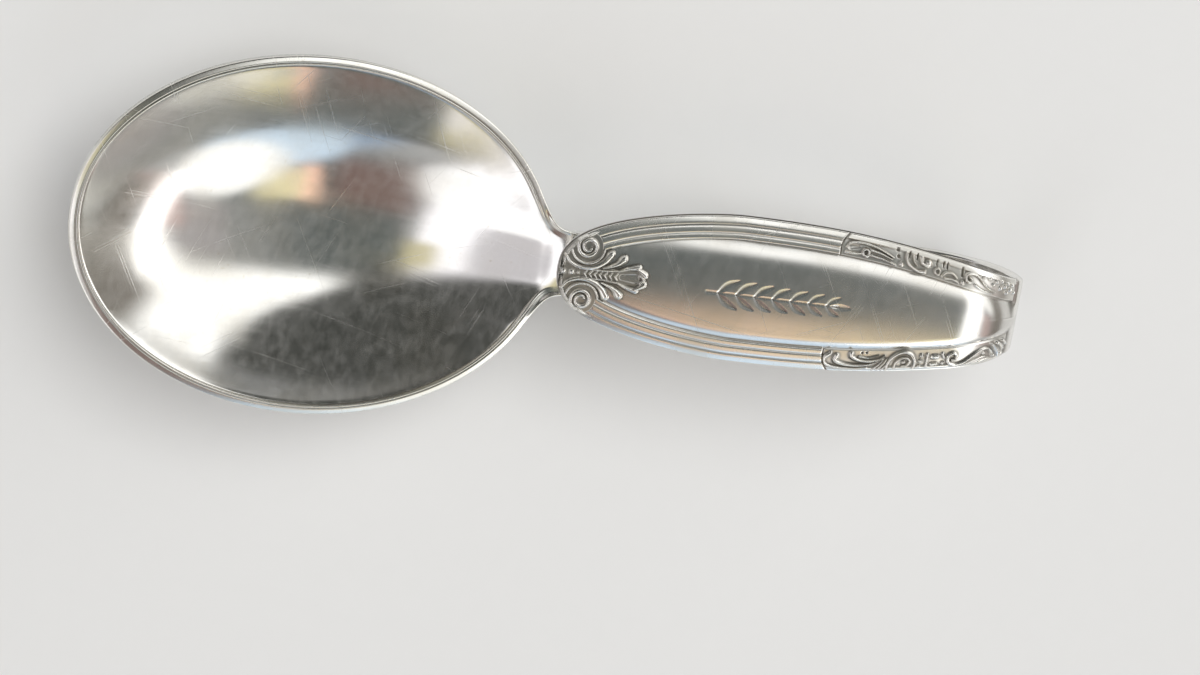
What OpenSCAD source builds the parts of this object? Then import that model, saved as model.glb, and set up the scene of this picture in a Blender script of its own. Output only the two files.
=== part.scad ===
// Silver baby spoon with a looped handle.
// A deep oval bowl with a neck, a rim band soldered round its edge, and a strap handle whose stem is
// soldered under the bowl's heel. The strap bends round at its far end and comes back over its own stem.
// Its wide, rounded end carries a scroll ornament, thread borders and scroll borders.
// +X runs from the bowl to the loop, +Z is up, and the spoon rests on z = 0.

/* [Overall] */
// Length of the spoon from the bowl's nose to the outside of the loop
overall_len = 88.3; // [80:0.1:96]
// Height of the loop at its bend, from the surface that the spoon rests on
loop_h = 16; // [14:0.1:18]

/* [Bowl] */
// Length of the bowl's oval over the rim
bowl_len = 42.6; // [38:0.1:46]
// Width of the bowl's oval over the rim
bowl_w = 32; // [28:0.1:36]
// Depth of the hollow below the top of the rim
bowl_depth = 9.15; // [7.5:0.05:10.5]
// Thickness of the silver at the bottom of the bowl
bowl_wall = 0.8; // [0.6:0.05:1.2]
// Fullness of the hollow: 2 is a plain dish, and more is squarer
bowl_fullness = 2.3; // [2:0.05:2.8]

/* [Rim] */
// Width of the flat rim band
rim_w = 0.85; // [0.6:0.05:1.2]
// Height of the rim band
rim_t = 0.45; // [0.3:0.05:0.7]
// Width of the small bevel along both top edges of the rim band
rim_bevel = 0.12; // [0.05:0.01:0.2]
// Thickness of the bowl's edge under the rim band
edge_t = 0.5; // [0.4:0.05:0.9]

/* [Neck] */
// Width of the neck
neck_w = 5.5; // [4.5:0.1:7]
// Length of the neck past the end of the bowl's oval
neck_len = 4.8; // [3:0.1:7]
// Size of the fillet between the oval and the neck
neck_fillet = 1.5; // [1:0.1:3]
// Share of the oval's half length at which its sides leave it and run straight on to the neck
heel_at = 0.925; // [0.88:0.005:0.95]
// Softness of the shoulder where the hollow runs out into the neck
heel_soft = 0.12; // [0.05:0.01:0.2]
// Softness of the crease between the hollow and the seat of the rim band
crease_soft = 0.02; // [0.01:0.005:0.04]

/* [Strap] */
// Thickness of the strap
strap_t = 1.15; // [0.9:0.05:1.5]
// Greatest width of the strap
strap_w = 13.45; // [11:0.05:16]
// Distance along the strap from its tip to its widest place
wide_at = 16.5; // [12:0.1:20]
// Length over which the strap narrows past its widest place
taper_len = 34; // [28:0.5:40]
// Width of the stem where the strap has narrowed
stem_w = 6.4; // [5:0.1:8]
// Crown of the strap's outer face over its greatest width
crown = 0.3; // [0.1:0.05:0.6]
// Radius of the strap's edges
edge_r = 0.3; // [0.1:0.05:0.4]
// Height of the tip's outer face above the top of the rim
tip_rise = 2.65; // [2.2:0.05:4]
// Distance of the tip past the end of the bowl's oval
tip_gap = 0.2; // [0:0.1:1.5]
// Length of the flat run that the strap rests on
rest_len = 12; // [6:0.5:16]

/* [Heel joint] */
// Length of the drop that laps up the bowl's back
drop_len = 8; // [6:0.1:10]
// Length of the drop's rounded end
drop_round = 4.4; // [2:0.1:5]
// Thickness of the drop at its end
drop_t = 0.4; // [0.3:0.05:0.8]
// Thickness of the solder between the handle and the bowl
solder_t = 0.14; // [0.1:0.01:0.3]
// Width of the solder fillet beside the handle
solder_fillet = 0.6; // [0.3:0.05:1]

/* [Ornament] */
// Width of the borders along the strap's edges
border_w = 2.2; // [1.6:0.05:2.8]
// Height of the ornament above the strap
border_h = 0.36; // [0.2:0.02:0.6]
// Distance of the ornament from the strap's edge
border_inset = 0.12; // [0.05:0.01:0.4]
// Number of threads in a thread border
thread_count = 3; // [2:1:4]
// Distance along the strap from its tip to the place where threads give way to scrolls
divide_at = 25.4; // [20:0.1:30]
// Distance along the strap from its tip to the end of the scroll border
scroll_end = 44; // [38:0.1:46]
// Length of one wave of the scroll border
scroll_pitch = 6.2; // [4:0.1:8]
// Radius of each volute of the tip ornament
volute_r = 1.35; // [1:0.05:1.6]
// Distance along the strap from its tip to the centres of the volutes
volute_at = 2.35; // [2:0.05:3]
// Distance of the volutes' centres from the middle of the strap
volute_side = 2.4; // [1.8:0.05:3]
// Distance between two turns of a volute
volute_pitch = 1; // [0.8:0.05:1.3]
// Distance along the strap from its tip to the point of the palmette
palmette_end = 7.9; // [6:0.1:10]
// Length of the step from the volutes to the palmette and the threads
step_len = 0.6; // [0.3:0.1:1]

/* [Fits] */
// Clearance of soldered ornament and rim from what they sit on
seat_gap = 0.03; // [0.02:0.01:0.06]
// Gap between neighbouring pieces of ornament
joint_gap = 0.1; // [0.05:0.01:0.3]

/* [Hidden] */

// Colours of polished silver, of silver solder and of ornament that has darkened in its recesses
silver = [0.86, 0.86, 0.84];
worn_silver = [0.79, 0.79, 0.76];
solder_silver = [0.72, 0.72, 0.68];
dark_silver = [0.66, 0.65, 0.60];

// Half sizes of the oval, and the rim's height above the resting surface
oval_a = bowl_len / 2;
oval_b = bowl_w / 2;
rim_z = bowl_depth + bowl_wall;
bowl_x = oval_a - overall_len / 2;
neck_end = oval_a + neck_len;

// The heel: where the oval's sides leave it, and their half width there
heel_x = heel_at * oval_a;
heel_w = oval_b * sqrt(1 - pow(heel_at, 2));

// Depths of the hollow and of the back below the rim band's seat
hollow_d = bowl_depth - rim_t;
back_d = rim_z - rim_t - edge_t;

// Exponents of the strap's outline: its rounded tip and its taper to the stem
tip_power = 1.5;
tip_root = 0.37;
taper_power = 2.7;
taper_root = 2.3;

// The loop's bend: outer radius, and centre in the bowl's plane of symmetry
bend_r = loop_h / 2;
bend_x = overall_len - oval_a - bend_r;
bend_z = bend_r - rim_z;

// The straight run from the tip touches the bend's circle: its slope and length
tip_x = oval_a + tip_gap;
tip_to_bend = [bend_x - tip_x, bend_z - tip_rise];
run_slope = atan2(tip_to_bend[1], tip_to_bend[0]) + asin(bend_r / norm(tip_to_bend));
run_len = sqrt(pow(norm(tip_to_bend), 2) - pow(bend_r, 2));
bend_turn = 180 + run_slope;
deg_per_mm = 180 / (PI * bend_r);

// The flat run's far end, and the drop's end on the bowl's back
rest_x = bend_x - rest_len;
drop_x = oval_a - drop_len;

// The volutes end here along the strap, and the threads begin a short step later
volute_end = volute_at + volute_r;
thread_from = volute_end + step_len + joint_gap;

// Counts of stations and of points across the lofted shapes
nose_stations = 36;
neck_stations = 10;
bowl_across = 22;
nose_from = 4;
nose_to = 163;
side_turn = 74;
tip_stations = 18;
run_stations = 16;
bend_stations = 22;
stem_stations = 16;
lap_stations = 16;
crown_across = 6;
thread_stations = 30;
scroll_stations = 54;
ornament_stations = 34;
ornament_across = 24;
seat_across = 4;
solder_across = 8;
tiny = 0.01;

// Soft maximum of p and q, rounded over a width k
function soft_max(p, q, k) = (p + q + sqrt(pow(p - q, 2) + k * k)) / 2;

// Smooth step from 0 to 1
function ease(u) = let (c = min(1, max(0, u))) c * c * (3 - 2 * c);

// Straight blend from p to q
function mix(p, q, u) = p + (q - p) * u;

// The bowl, with x from the middle of its oval and z from the top of its rim

// 0 at the middle of the bowl, 1 at its heel and along the neck
function heel(x) = ease(x / oval_a);

// Half width of the oval, which goes on along its tangent past the heel, and then with its neck
function oval_w(x) = x < heel_x
    ? oval_b * sqrt(max(0, 1 - pow(x / oval_a, 2)))
    : heel_w - (x - heel_x) * heel_x / heel_w * pow(oval_b / oval_a, 2);
function half_w(x) = soft_max(oval_w(x), heel(x) * neck_w / 2, heel(x) * neck_fillet);

// Share of the full depth at a point of an oval dish, with a crease that softens into the neck
function dish(x, y, a, b) = soft_max(
    1 - pow(pow(x / a, 2) + pow(y / b, 2), bowl_fullness / 2), 0,
    crease_soft + heel_soft * heel(x) * (1 - ease(abs(y) / neck_w)));

// Upper face inside the rim, and the back of the bowl
function inside_z(x, y) = -rim_t - hollow_d * dish(x, y, oval_a - rim_w, oval_b - rim_w);
function back_z(x, y) = -rim_t - edge_t - back_d * dish(x, y, oval_a, oval_b);

// Stations along the bowl: closer together at the nose and at the neck
bowl_xs = concat(
    [for (i = [0:nose_stations]) -oval_a * cos(mix(nose_from, nose_to, i / nose_stations))],
    [for (i = [1:neck_stations]) mix(-oval_a * cos(nose_to), neck_end, i / neck_stations)]);

// Places across the bowl, from 1 to -1, closer together at the rim
bowl_sides = [for (j = [0:bowl_across]) sin(mix(side_turn, -side_turn, j / bowl_across)) / sin(side_turn)];

// The strap's outer face, at a distance s along it from the tip

function bend_angle(s) = 90 + run_slope - (s - run_len) * deg_per_mm;
function face(s) = s < run_len
    ? [tip_x + s * cos(run_slope), tip_rise + s * sin(run_slope)]
    : [bend_x + bend_r * cos(bend_angle(s)), bend_z + bend_r * sin(bend_angle(s))];
function face_normal(s) = s < run_len
    ? [-sin(run_slope), cos(run_slope)]
    : [cos(bend_angle(s)), sin(bend_angle(s))];

// Width of the strap: a rounded tip up to its widest place, then a long taper to the stem
function face_w(s) = s < wide_at
    ? strap_w * pow(1 - pow((wide_at - s) / wide_at, tip_power), tip_root)
    : mix(stem_w, strap_w, pow(1 - pow(min(1, (s - wide_at) / taper_len), taper_power), taper_root));

// Drop of the crowned face at a distance y from its middle line
function crown_at(y) = crown * pow(2 * y / strap_w, 2);

// The crown fades out round the bend, so that the stem's resting face is flat
function crown_share(s) = 1 - ease((s - run_len) / (bend_r * PI / 2));

// Point on the strap's face at s and y, raised by h
function on_face(s, y, h) =
    let (p = face(s), n = face_normal(s), up = h - crown_at(y) * crown_share(s))
    [p[0] + n[0] * up, y, p[1] + n[1] * up];

// Below the bend the strap follows heights over x: the rise to the neck, then the lap under the bowl
neck_under = back_z(neck_end, 0) - solder_t - strap_t;
function rise_share(x) = (rest_x - x) / (rest_x - neck_end);
function rise_z(x) = mix(-rim_z, neck_under, ease(rise_share(x)));
function rise_slope(x) = (rise_z(x + tiny) - rise_z(x - tiny)) / (2 * tiny);
function back_slope(x) = (back_z(x + tiny, 0) - back_z(x - tiny, 0)) / (2 * tiny);
function down_normal(slope) = [slope, -1] / norm([slope, -1]);

// Width and thickness of the lap: full at the neck, rounded and thin at the end of the drop
function lap_w(x) = neck_w * sqrt(max(0, 1 - pow(max(0, (drop_x + drop_round - x) / drop_round), 2)));
function lap_t(x) = mix(drop_t, strap_t, ease((x - drop_x) / drop_len));

// Closed cross-section of the strap at a point p of its outer face, with outward normal n
function strap_section(p, n, w, t, c) =
    let (
        r = min(edge_r, t / 3, w / 4),
        half = w / 2,
        edge_h = -c * crown_at(half) - r,
        top = [for (j = [0:crown_across])
            let (y = mix(half - r, r - half, j / crown_across)) [y, -c * crown_at(y)]],
        under = [[-half, edge_h], [-half, r - t], [r - half, -t], [half - r, -t], [half, r - t], [half, edge_h]]
    )
    [for (q = concat(top, under)) [p[0] + n[0] * q[1], q[0], p[1] + n[1] * q[1]]];

// Solid through a row of closed cross-sections that all have the same number of points
module loft(sections) {
    n = len(sections[0]);
    last = len(sections) - 1;
    points = [for (section = sections) each section];
    walls = [for (i = [0:last - 1], j = [0:n - 1])
        let (a = i * n + j, b = i * n + (j + 1) % n)
        each [[a, a + n, b + n], [a, b + n, b]]];
    caps = [[for (j = [0:n - 1]) j], [for (j = [n - 1:-1:0]) last * n + j]];
    polyhedron(points, concat(walls, caps));
}

// Puts a shape of the bowl's own frame into the spoon's frame
module set_on_table() {
    translate([bowl_x, 0, rim_z]) children();
}

// Oval bowl with its neck: a thin shell with a flat seat for the rim band
module bowl() {
    sections = [for (x = bowl_xs) concat(
        [for (k = bowl_sides) let (y = k * half_w(x)) [x, y, inside_z(x, y)]],
        [for (j = [bowl_across:-1:0]) let (y = bowl_sides[j] * half_w(x)) [x, y, back_z(x, y)]])];
    color(silver) set_on_table() loft(sections);
}

// Rim band: a flat wire round the oval that runs out along both sides of the neck
module bowl_rim() {
    last = len(bowl_xs) - 1;
    outline = concat(
        [for (i = [last:-1:0]) [bowl_xs[i], -half_w(bowl_xs[i])]],
        [[-oval_a, 0]],
        [for (x = bowl_xs) [x, half_w(x)]]);
    end = len(outline) - 1;
    sections = [for (i = [0:end])
        let (
            way = outline[min(end, i + 1)] - outline[max(0, i - 1)],
            inward = [way[1], -way[0]] / norm(way),
            outer = outline[i],
            inner = outer + inward * rim_w,
            bevel_out = outer + inward * rim_bevel,
            bevel_in = inner - inward * rim_bevel
        )
        [
            [outer[0], outer[1], inside_z(outer[0], outer[1]) + seat_gap],
            [outer[0], outer[1], -rim_bevel],
            [bevel_out[0], bevel_out[1], 0],
            [bevel_in[0], bevel_in[1], 0],
            [inner[0], inner[1], -rim_bevel],
            [inner[0], inner[1], min(-2 * rim_bevel, inside_z(inner[0], inner[1]) + seat_gap)]
        ]];
    color(worn_silver) set_on_table() loft(sections);
}

// Strap handle, from its tip over the loop and along its stem to the drop on the bowl's back
module handle() {
    tip_ss = [for (i = [0:tip_stations]) wide_at * (1 - cos(mix(6, 90, i / tip_stations)))];
    run_ss = [for (i = [1:run_stations]) mix(wide_at, run_len, i / run_stations)];
    bend_ss = [for (i = [1:bend_stations]) run_len + bend_turn / deg_per_mm * i / bend_stations];
    rise_xs = [for (i = [0:stem_stations]) mix(rest_x, neck_end, i / stem_stations)];
    lap_xs = [for (i = [1:lap_stations]) mix(neck_end, drop_x + tiny, sin(90 * i / lap_stations))];
    sections = concat(
        [for (s = concat(tip_ss, run_ss, bend_ss))
            strap_section(face(s), face_normal(s), face_w(s), strap_t, crown_share(s))],
        [for (x = rise_xs)
            strap_section([x, rise_z(x)], down_normal(rise_slope(x)),
                mix(stem_w, neck_w, max(0, rise_share(x))), strap_t, 0)],
        [for (x = lap_xs)
            let (n = down_normal(back_slope(x)), p = [x, back_z(x, 0) - solder_t] + n * lap_t(x))
            strap_section(p, n, lap_w(x), lap_t(x), 0)]);
    color(silver) set_on_table() loft(sections);
}

// Solder in the lap joint: a film between stem and bowl with a fillet along both sides
module heel_solder() {
    xs = [for (i = [0:lap_stations]) mix(drop_x + drop_round / 4, neck_end - joint_gap, i / lap_stations)];
    sections = [for (x = xs)
        let (
            flat = lap_w(x) / 2,
            reach = min(flat + solder_fillet, half_w(x) - seat_gap),
            ys = [for (j = [0:solder_across]) mix(reach, -reach, j / solder_across)]
        )
        concat(
            [for (y = ys) [x, y, back_z(x, y) - seat_gap]],
            [for (j = [solder_across:-1:0])
                let (
                    y = ys[j],
                    out = max(0, abs(y) - flat) / solder_fillet,
                    low = back_z(x, 0) - solder_t + seat_gap,
                    high = back_z(x, y) - 2 * seat_gap
                )
                [x, y, min(high, mix(low, high, out))]])];
    color(solder_silver) set_on_table() loft(sections);
}

// Strip of ornament along the strap's left edge: heights rise from the seat by relief(s, share across)
module border(stations, heights) {
    across = len(heights[0]) - 1;
    sections = [for (i = [0:len(stations) - 1])
        let (s = stations[i], outer = face_w(s) / 2 - border_inset)
        concat(
            [for (j = [0:across])
                on_face(s, outer - border_w * j / across, seat_gap + border_h * heights[i][j])],
            [for (j = [seat_across:-1:0])
                on_face(s, outer - border_w * j / seat_across, seat_gap)])];
    set_on_table() loft(sections);
}

// Thread border: parallel rounded ridges along the edge
module thread_border() {
    across = 4 * thread_count;
    stations = [for (i = [0:thread_stations]) mix(thread_from, divide_at, i / thread_stations)];
    ridges = [for (j = [0:across]) mix(0.35, 1, abs(sin(180 * thread_count * j / across)))];
    border(stations, [for (s = stations) ridges]);
}

// Scroll border: a ridge that winds from side to side over a low bed, with a bead along the edge
module scroll_border() {
    across = 9;
    start = divide_at + joint_gap;
    stations = [for (i = [0:scroll_stations]) mix(start, scroll_end, i / scroll_stations)];
    heights = [for (s = stations)
        let (middle = 0.55 + 0.28 * sin(360 * (s - start) / scroll_pitch))
        [for (j = [0:across])
            let (u = j / across)
            0.3 + max(0.4 * exp(-pow((u - 0.08) / 0.1, 2)), 0.7 * exp(-pow((u - middle) / 0.2, 2)))]];
    border(stations, heights);
}

// Tip ornament: two volutes at the rounded end, and a palmette that points along the panel
function ornament_half(s) =
    let (
        outer = face_w(s) / 2 - border_inset,
        room = max(tiny, outer - border_w - joint_gap),
        along = min(1, max(0, (s - volute_end) / (palmette_end - volute_end))),
        palm = room * sqrt(1 - pow(along, 2))
    )
    mix(outer, max(tiny, palm), ease((s - volute_end) / step_len));

// Relief of the tip ornament: spiral ridges round each volute's centre, and a ribbed stem between them
function ornament_relief(s, y) =
    let (
        dx = s - volute_at,
        dy = abs(y) - volute_side,
        r = norm([dx, dy]),
        turn = atan2(dy, dx),
        spiral = 0.5 + 0.5 * cos(360 * r / volute_pitch - turn),
        rib = 0.45 + 0.35 * cos(360 * s / volute_pitch / 2),
        stem = rib * exp(-pow(y / (volute_side / 3), 2))
    )
    0.3 + 0.7 * max(spiral * (1 - ease((r - volute_r) / (volute_r / 2))), stem);

module tip_ornament() {
    first = border_inset + volute_at / 8;
    stations = [for (i = [0:ornament_stations]) mix(first, palmette_end - tiny, i / ornament_stations)];
    sections = [for (s = stations)
        let (half = ornament_half(s))
        concat(
            [for (j = [0:ornament_across])
                let (y = mix(half, -half, j / ornament_across))
                on_face(s, y, seat_gap + border_h * ornament_relief(s, y))],
            [for (j = [2 * seat_across:-1:0])
                on_face(s, mix(half, -half, j / (2 * seat_across)), seat_gap)])];
    color(dark_silver) set_on_table() loft(sections);
}

module thread_border_left() {
    color(worn_silver) thread_border();
}

module thread_border_right() {
    color(worn_silver) mirror([0, 1, 0]) thread_border();
}

module scroll_border_left() {
    color(dark_silver) scroll_border();
}

module scroll_border_right() {
    color(dark_silver) mirror([0, 1, 0]) scroll_border();
}

bowl();
bowl_rim();
handle();
heel_solder();
tip_ornament();
thread_border_left();
thread_border_right();
scroll_border_left();
scroll_border_right();
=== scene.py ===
"""Dresses the looped silver baby spoon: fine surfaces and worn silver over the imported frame.

Inside the classes, lengths are millimetres in the bowl's own frame: its origin is the middle of the bowl's
oval at the top of the rim, x runs towards the loop and z is up. Places on the strap are (s, y): s is the
distance along the strap's outer face from its tip, and y is the distance from its middle line. Places on a
border are (s, e), where e is the distance from the strap's edge.
"""

import logging
import math
from collections.abc import Callable
from dataclasses import dataclass, replace
from enum import Enum
from functools import cached_property

import bpy
import numpy as np
from mathutils import Matrix, Vector


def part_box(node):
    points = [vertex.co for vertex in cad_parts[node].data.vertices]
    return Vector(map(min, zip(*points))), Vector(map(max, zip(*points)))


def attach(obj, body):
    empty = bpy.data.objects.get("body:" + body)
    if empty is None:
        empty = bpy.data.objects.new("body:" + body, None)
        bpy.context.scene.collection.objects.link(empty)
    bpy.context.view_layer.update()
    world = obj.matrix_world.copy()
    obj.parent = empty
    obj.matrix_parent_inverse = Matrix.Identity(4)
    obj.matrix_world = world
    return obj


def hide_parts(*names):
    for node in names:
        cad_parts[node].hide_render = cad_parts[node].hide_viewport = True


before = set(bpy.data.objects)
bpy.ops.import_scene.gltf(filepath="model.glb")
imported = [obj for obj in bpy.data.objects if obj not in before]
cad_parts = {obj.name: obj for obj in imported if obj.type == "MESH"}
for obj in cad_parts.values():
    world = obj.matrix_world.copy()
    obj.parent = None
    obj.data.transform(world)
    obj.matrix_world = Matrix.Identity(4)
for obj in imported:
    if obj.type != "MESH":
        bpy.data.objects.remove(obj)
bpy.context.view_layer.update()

LOG = logging.getLogger("spoon")
MM = 0.001
BODY = "root"
SHARP_ANGLE = 62.0
ARC_POINTS = 40
ARC_STEP = 4.0
Array = np.ndarray
Pair = tuple[float, float]
Triple = tuple[float, float, float]
Colour = Triple


def ease(u: Array | float) -> Array:
    """Smooth step from 0 to 1: 3u² − 2u³, with u held between 0 and 1."""
    c = np.clip(u, 0.0, 1.0)
    return c * c * (3.0 - 2.0 * c)


def mix(p: Array | float, q: Array | float, u: Array | float) -> Array | float:
    """Straight blend from p to q."""
    return p + (q - p) * u


def soft_max(p: Array | float, q: Array | float, k: Array | float) -> Array:
    """Larger of p and q, rounded over a width k: half of p + q + the root of (p − q)² + k²."""
    return (p + q + np.sqrt((p - q) ** 2 + k**2)) / 2.0


def bump(u: Array, centre: float, width: float) -> Array:
    """Bell curve of height 1 about a centre: e to the power −((u − centre) / width)²."""
    return np.exp(-(((u - centre) / width) ** 2))


def round_drop(e: Array, radius: Array | float) -> Array:
    """Drop of a quarter-round edge at a distance e from it: r less the root of r² − (r − e)²."""
    inside = radius - np.clip(e, 0.0, radius)
    return radius - np.sqrt(radius**2 - inside**2)


def round_steps(count: int) -> Array:
    """Steps in from a round edge, as shares of its radius: 1 − cos of even angles from 0 to 90 degrees."""
    return 1.0 - np.cos(np.radians(np.linspace(0.0, 90.0, count)))


def blurred(field: Array, passes: int) -> Array:
    """Smooths a grid by averaging each point with its four neighbours.

    Args:
        field: Values on a grid.
        passes: How many times the average is taken.

    Returns:
        The smoothed grid.
    """
    for _ in range(passes):
        wide = np.pad(field, 1, mode="edge")
        sides = wide[:-2, 1:-1] + wide[2:, 1:-1] + wide[1:-1, :-2] + wide[1:-1, 2:]
        field = sides / 8.0 + field / 2.0
    return field


def smooth_line(points: list[Pair], count: int = 90) -> Array:
    """Runs a smooth curve through given points.

    Each stretch is the cubic whose slope at a point is half of the step from the point before it to the
    point after it.

    Args:
        points: Places (along, across) that the curve passes through.
        count: Number of points on the curve.

    Returns:
        The curve's points, one row each.
    """
    p = np.array(points, float)
    p = np.vstack([2 * p[0] - p[1], p, 2 * p[-1] - p[-2]])
    t = np.linspace(0.0, len(points) - 1.0, count)
    i = np.minimum(t.astype(int), len(points) - 2)
    f = (t - i)[:, None]
    a, b, c, d = p[i], p[i + 1], p[i + 2], p[i + 3]
    return b + f / 2 * ((c - a) + f * ((2 * a - 5 * b + 4 * c - d) + f * (3 * (b - c) + d - a)))


def spiral_line(centre: Pair, radii: Pair, turn: Pair) -> Array:
    """Draws a spiral or an arc about a centre: the radius changes evenly with the angle.

    Args:
        centre: Middle of the spiral (along, across).
        radii: Radius at the start and at the end.
        turn: Angle at the start and at the end, in degrees from the first coordinate.

    Returns:
        The spiral's points, one row each.
    """
    share = np.linspace(0.0, 1.0, max(ARC_POINTS, int(abs(turn[1] - turn[0]) / ARC_STEP)))
    angle = np.radians(mix(turn[0], turn[1], share))
    radius = mix(radii[0], radii[1], share)
    return np.stack([centre[0] + radius * np.cos(angle), centre[1] + radius * np.sin(angle)], -1)


@dataclass(frozen=True)
class Stroke:
    """Line of ornament over a flat grid, raised or sunk, with widths in millimetres from its middle."""

    line: Array
    start_w: float
    end_w: float
    height: float
    belly: float = 0.0

    def over(self, u: Array, v: Array) -> Array:
        """Gives the stroke's height over a grid: the greatest h(1 − d² / w²) among its points.

        Args:
            u: First coordinate of the grid's points.
            v: Second coordinate of the grid's points.

        Returns:
            Heights, which are far below zero outside the stroke.
        """
        share = np.linspace(0.0, 1.0, len(self.line))
        w = mix(self.start_w, self.end_w, share) + self.belly * np.sin(np.pi * share)
        low, high = self.line.min(0) - w.max(), self.line.max(0) + w.max()
        near = (u > low[0]) & (u < high[0]) & (v > low[1]) & (v < high[1])
        gap = (u[near][:, None] - self.line[:, 0]) ** 2 + (v[near][:, None] - self.line[:, 1]) ** 2
        heights = np.full(u.shape, -1.0)
        heights[near] = (self.height * (1.0 - gap / w**2)).max(1, initial=-1.0)
        return heights


def ridge(points: list[Pair], start_w: float, end_w: float, height: float, belly: float = 0.0) -> Stroke:
    """Makes a stroke through given points."""
    return Stroke(smooth_line(points), start_w, end_w, height, belly)


def bead(centre: Pair, radius: float, height: float) -> Stroke:
    """Makes a round bead: a stroke of one point."""
    return Stroke(np.array([centre], float), radius, radius, height)


class Relief:
    """Height field over a grid, built up from a ground with raised and sunk strokes."""

    def __init__(self, u: Array, v: Array, ground: Array) -> None:
        """Takes the grid's two coordinates and the ground's heights.

        Args:
            u: First coordinate of the grid's points.
            v: Second coordinate of the grid's points.
            ground: Heights to start from.
        """
        self.u = u
        self.v = v
        self.height = ground.copy()

    def add(self, strokes: list[Stroke]) -> None:
        """Raises strokes from the ground: the higher of the two shows."""
        for stroke in strokes:
            self.height = np.maximum(self.height, stroke.over(self.u, self.v))

    def cut(self, strokes: list[Stroke]) -> None:
        """Sinks strokes into what is there."""
        for stroke in strokes:
            self.height = self.height - np.maximum(stroke.over(self.u, self.v), 0.0)

    def recess(self, passes: int, depth: float) -> Array:
        """How far points lie below their surroundings, used as painted shade: the smooth step of drop / depth
        + 1/3.
        """
        return ease((blurred(self.height, passes) - self.height + depth / 3) / depth)


@dataclass(frozen=True)
class SpoonSizes:
    """Main sizes of the spoon in millimetres, as the frame holds them."""

    overall_len: float
    oval_a: float
    oval_b: float
    rim_z: float
    loop_h: float
    strap_w: float
    neck_len: float

    @classmethod
    def from_frame(cls, neck_len: float = 4.8) -> "SpoonSizes":
        """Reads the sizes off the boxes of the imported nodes.

        Args:
            neck_len: Length of the neck past the bowl's oval, which no box shows.

        Returns:
            The sizes.
        """
        rim_low, rim_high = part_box("bowl_rim")
        handle_low, handle_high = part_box("handle")
        return cls(
            overall_len=(handle_high.x - rim_low.x) / MM,
            oval_a=((rim_high.x - rim_low.x) / MM - neck_len) / 2,
            oval_b=(rim_high.y - rim_low.y) / MM / 2,
            rim_z=rim_high.z / MM,
            loop_h=handle_high.z / MM,
            strap_w=(handle_high.y - handle_low.y) / MM,
            neck_len=neck_len,
        )

    @property
    def neck_end(self) -> float:
        """End of the neck along x."""
        return self.oval_a + self.neck_len

    @property
    def origin(self) -> Array:
        """Place of the bowl's own origin in the spoon's frame."""
        return np.array([self.oval_a - self.overall_len / 2, 0.0, self.rim_z])


def loft(sections: Array) -> tuple[Array, list[list[int]]]:
    """Closes a row of closed cross-sections into one solid with flat ends.

    Args:
        sections: Points in an array of rows, points in a row, and three coordinates.

    Returns:
        The points, and the faces with their normals outwards.
    """
    rows, n = sections.shape[:2]
    points = sections.reshape(-1, 3)
    a = (np.arange(rows - 1)[:, None] * n + np.arange(n)).ravel()
    b = (np.arange(rows - 1)[:, None] * n + (np.arange(n) + 1) % n).ravel()
    walls = np.stack([a, b, b + n, a + n], -1)
    ends = [np.arange(n)[::-1].tolist(), (np.arange(n) + (rows - 1) * n).tolist()]
    p, q, r, t = (points[walls[:, k]] for k in range(4))
    volume = np.einsum("ij,ij->", p, np.cross(q, r)) + np.einsum("ij,ij->", p, np.cross(r, t))
    faces = walls.tolist() + ends
    return points, faces if volume > 0 else [face[::-1] for face in faces]


class Workshop:
    """Turns sections in the bowl's frame into pieces that stand for the frame's nodes."""

    def __init__(self, sizes: SpoonSizes) -> None:
        """Takes the spoon's sizes."""
        self.sizes = sizes

    def piece(self, name: str, sections: Array, recess: Array | None = None) -> bpy.types.Object:
        """Makes a smooth mesh from closed sections.

        Args:
            name: Name of the piece.
            sections: Rows of points in millimetres, in the bowl's frame.
            recess: For each point, how far painted shade darkens it: 0 in the open and 1 deep in a recess.

        Returns:
            The new object, at the origin, with its place in its mesh.
        """
        points, faces = loft(sections)
        mesh = bpy.data.meshes.new(name)
        mesh.from_pydata((points + self.sizes.origin) * MM, [], faces)
        mesh.polygons.foreach_set("use_smooth", np.ones(len(mesh.polygons), bool))
        mesh.set_sharp_from_angle(angle=math.radians(SHARP_ANGLE))
        # The recess values are painted shade: the finishes darken the colour towards a dark tone by them.
        values = np.zeros(len(points)) if recess is None else recess.ravel()
        layer = mesh.attributes.new("recess", "FLOAT", "POINT")
        layer.data.foreach_set("value", values.astype(np.float32))
        mesh.update()
        made = bpy.data.objects.new(name, mesh)
        bpy.context.scene.collection.objects.link(made)
        return made

    def dress(self, piece: bpy.types.Object, node: str, slot: str, material: bpy.types.Material) -> None:
        """Gives a piece its finish and puts it in the place of a node of the frame.

        Args:
            piece: The piece.
            node: Node of the frame that it stands for.
            slot: Name of its material slot; not used.
            material: Its finish.
        """
        piece.data.materials.append(material)
        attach(piece, BODY)
        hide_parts(node)
        LOG.info("%s stands for %s: %d faces", piece.name, node, len(piece.data.polygons))


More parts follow.
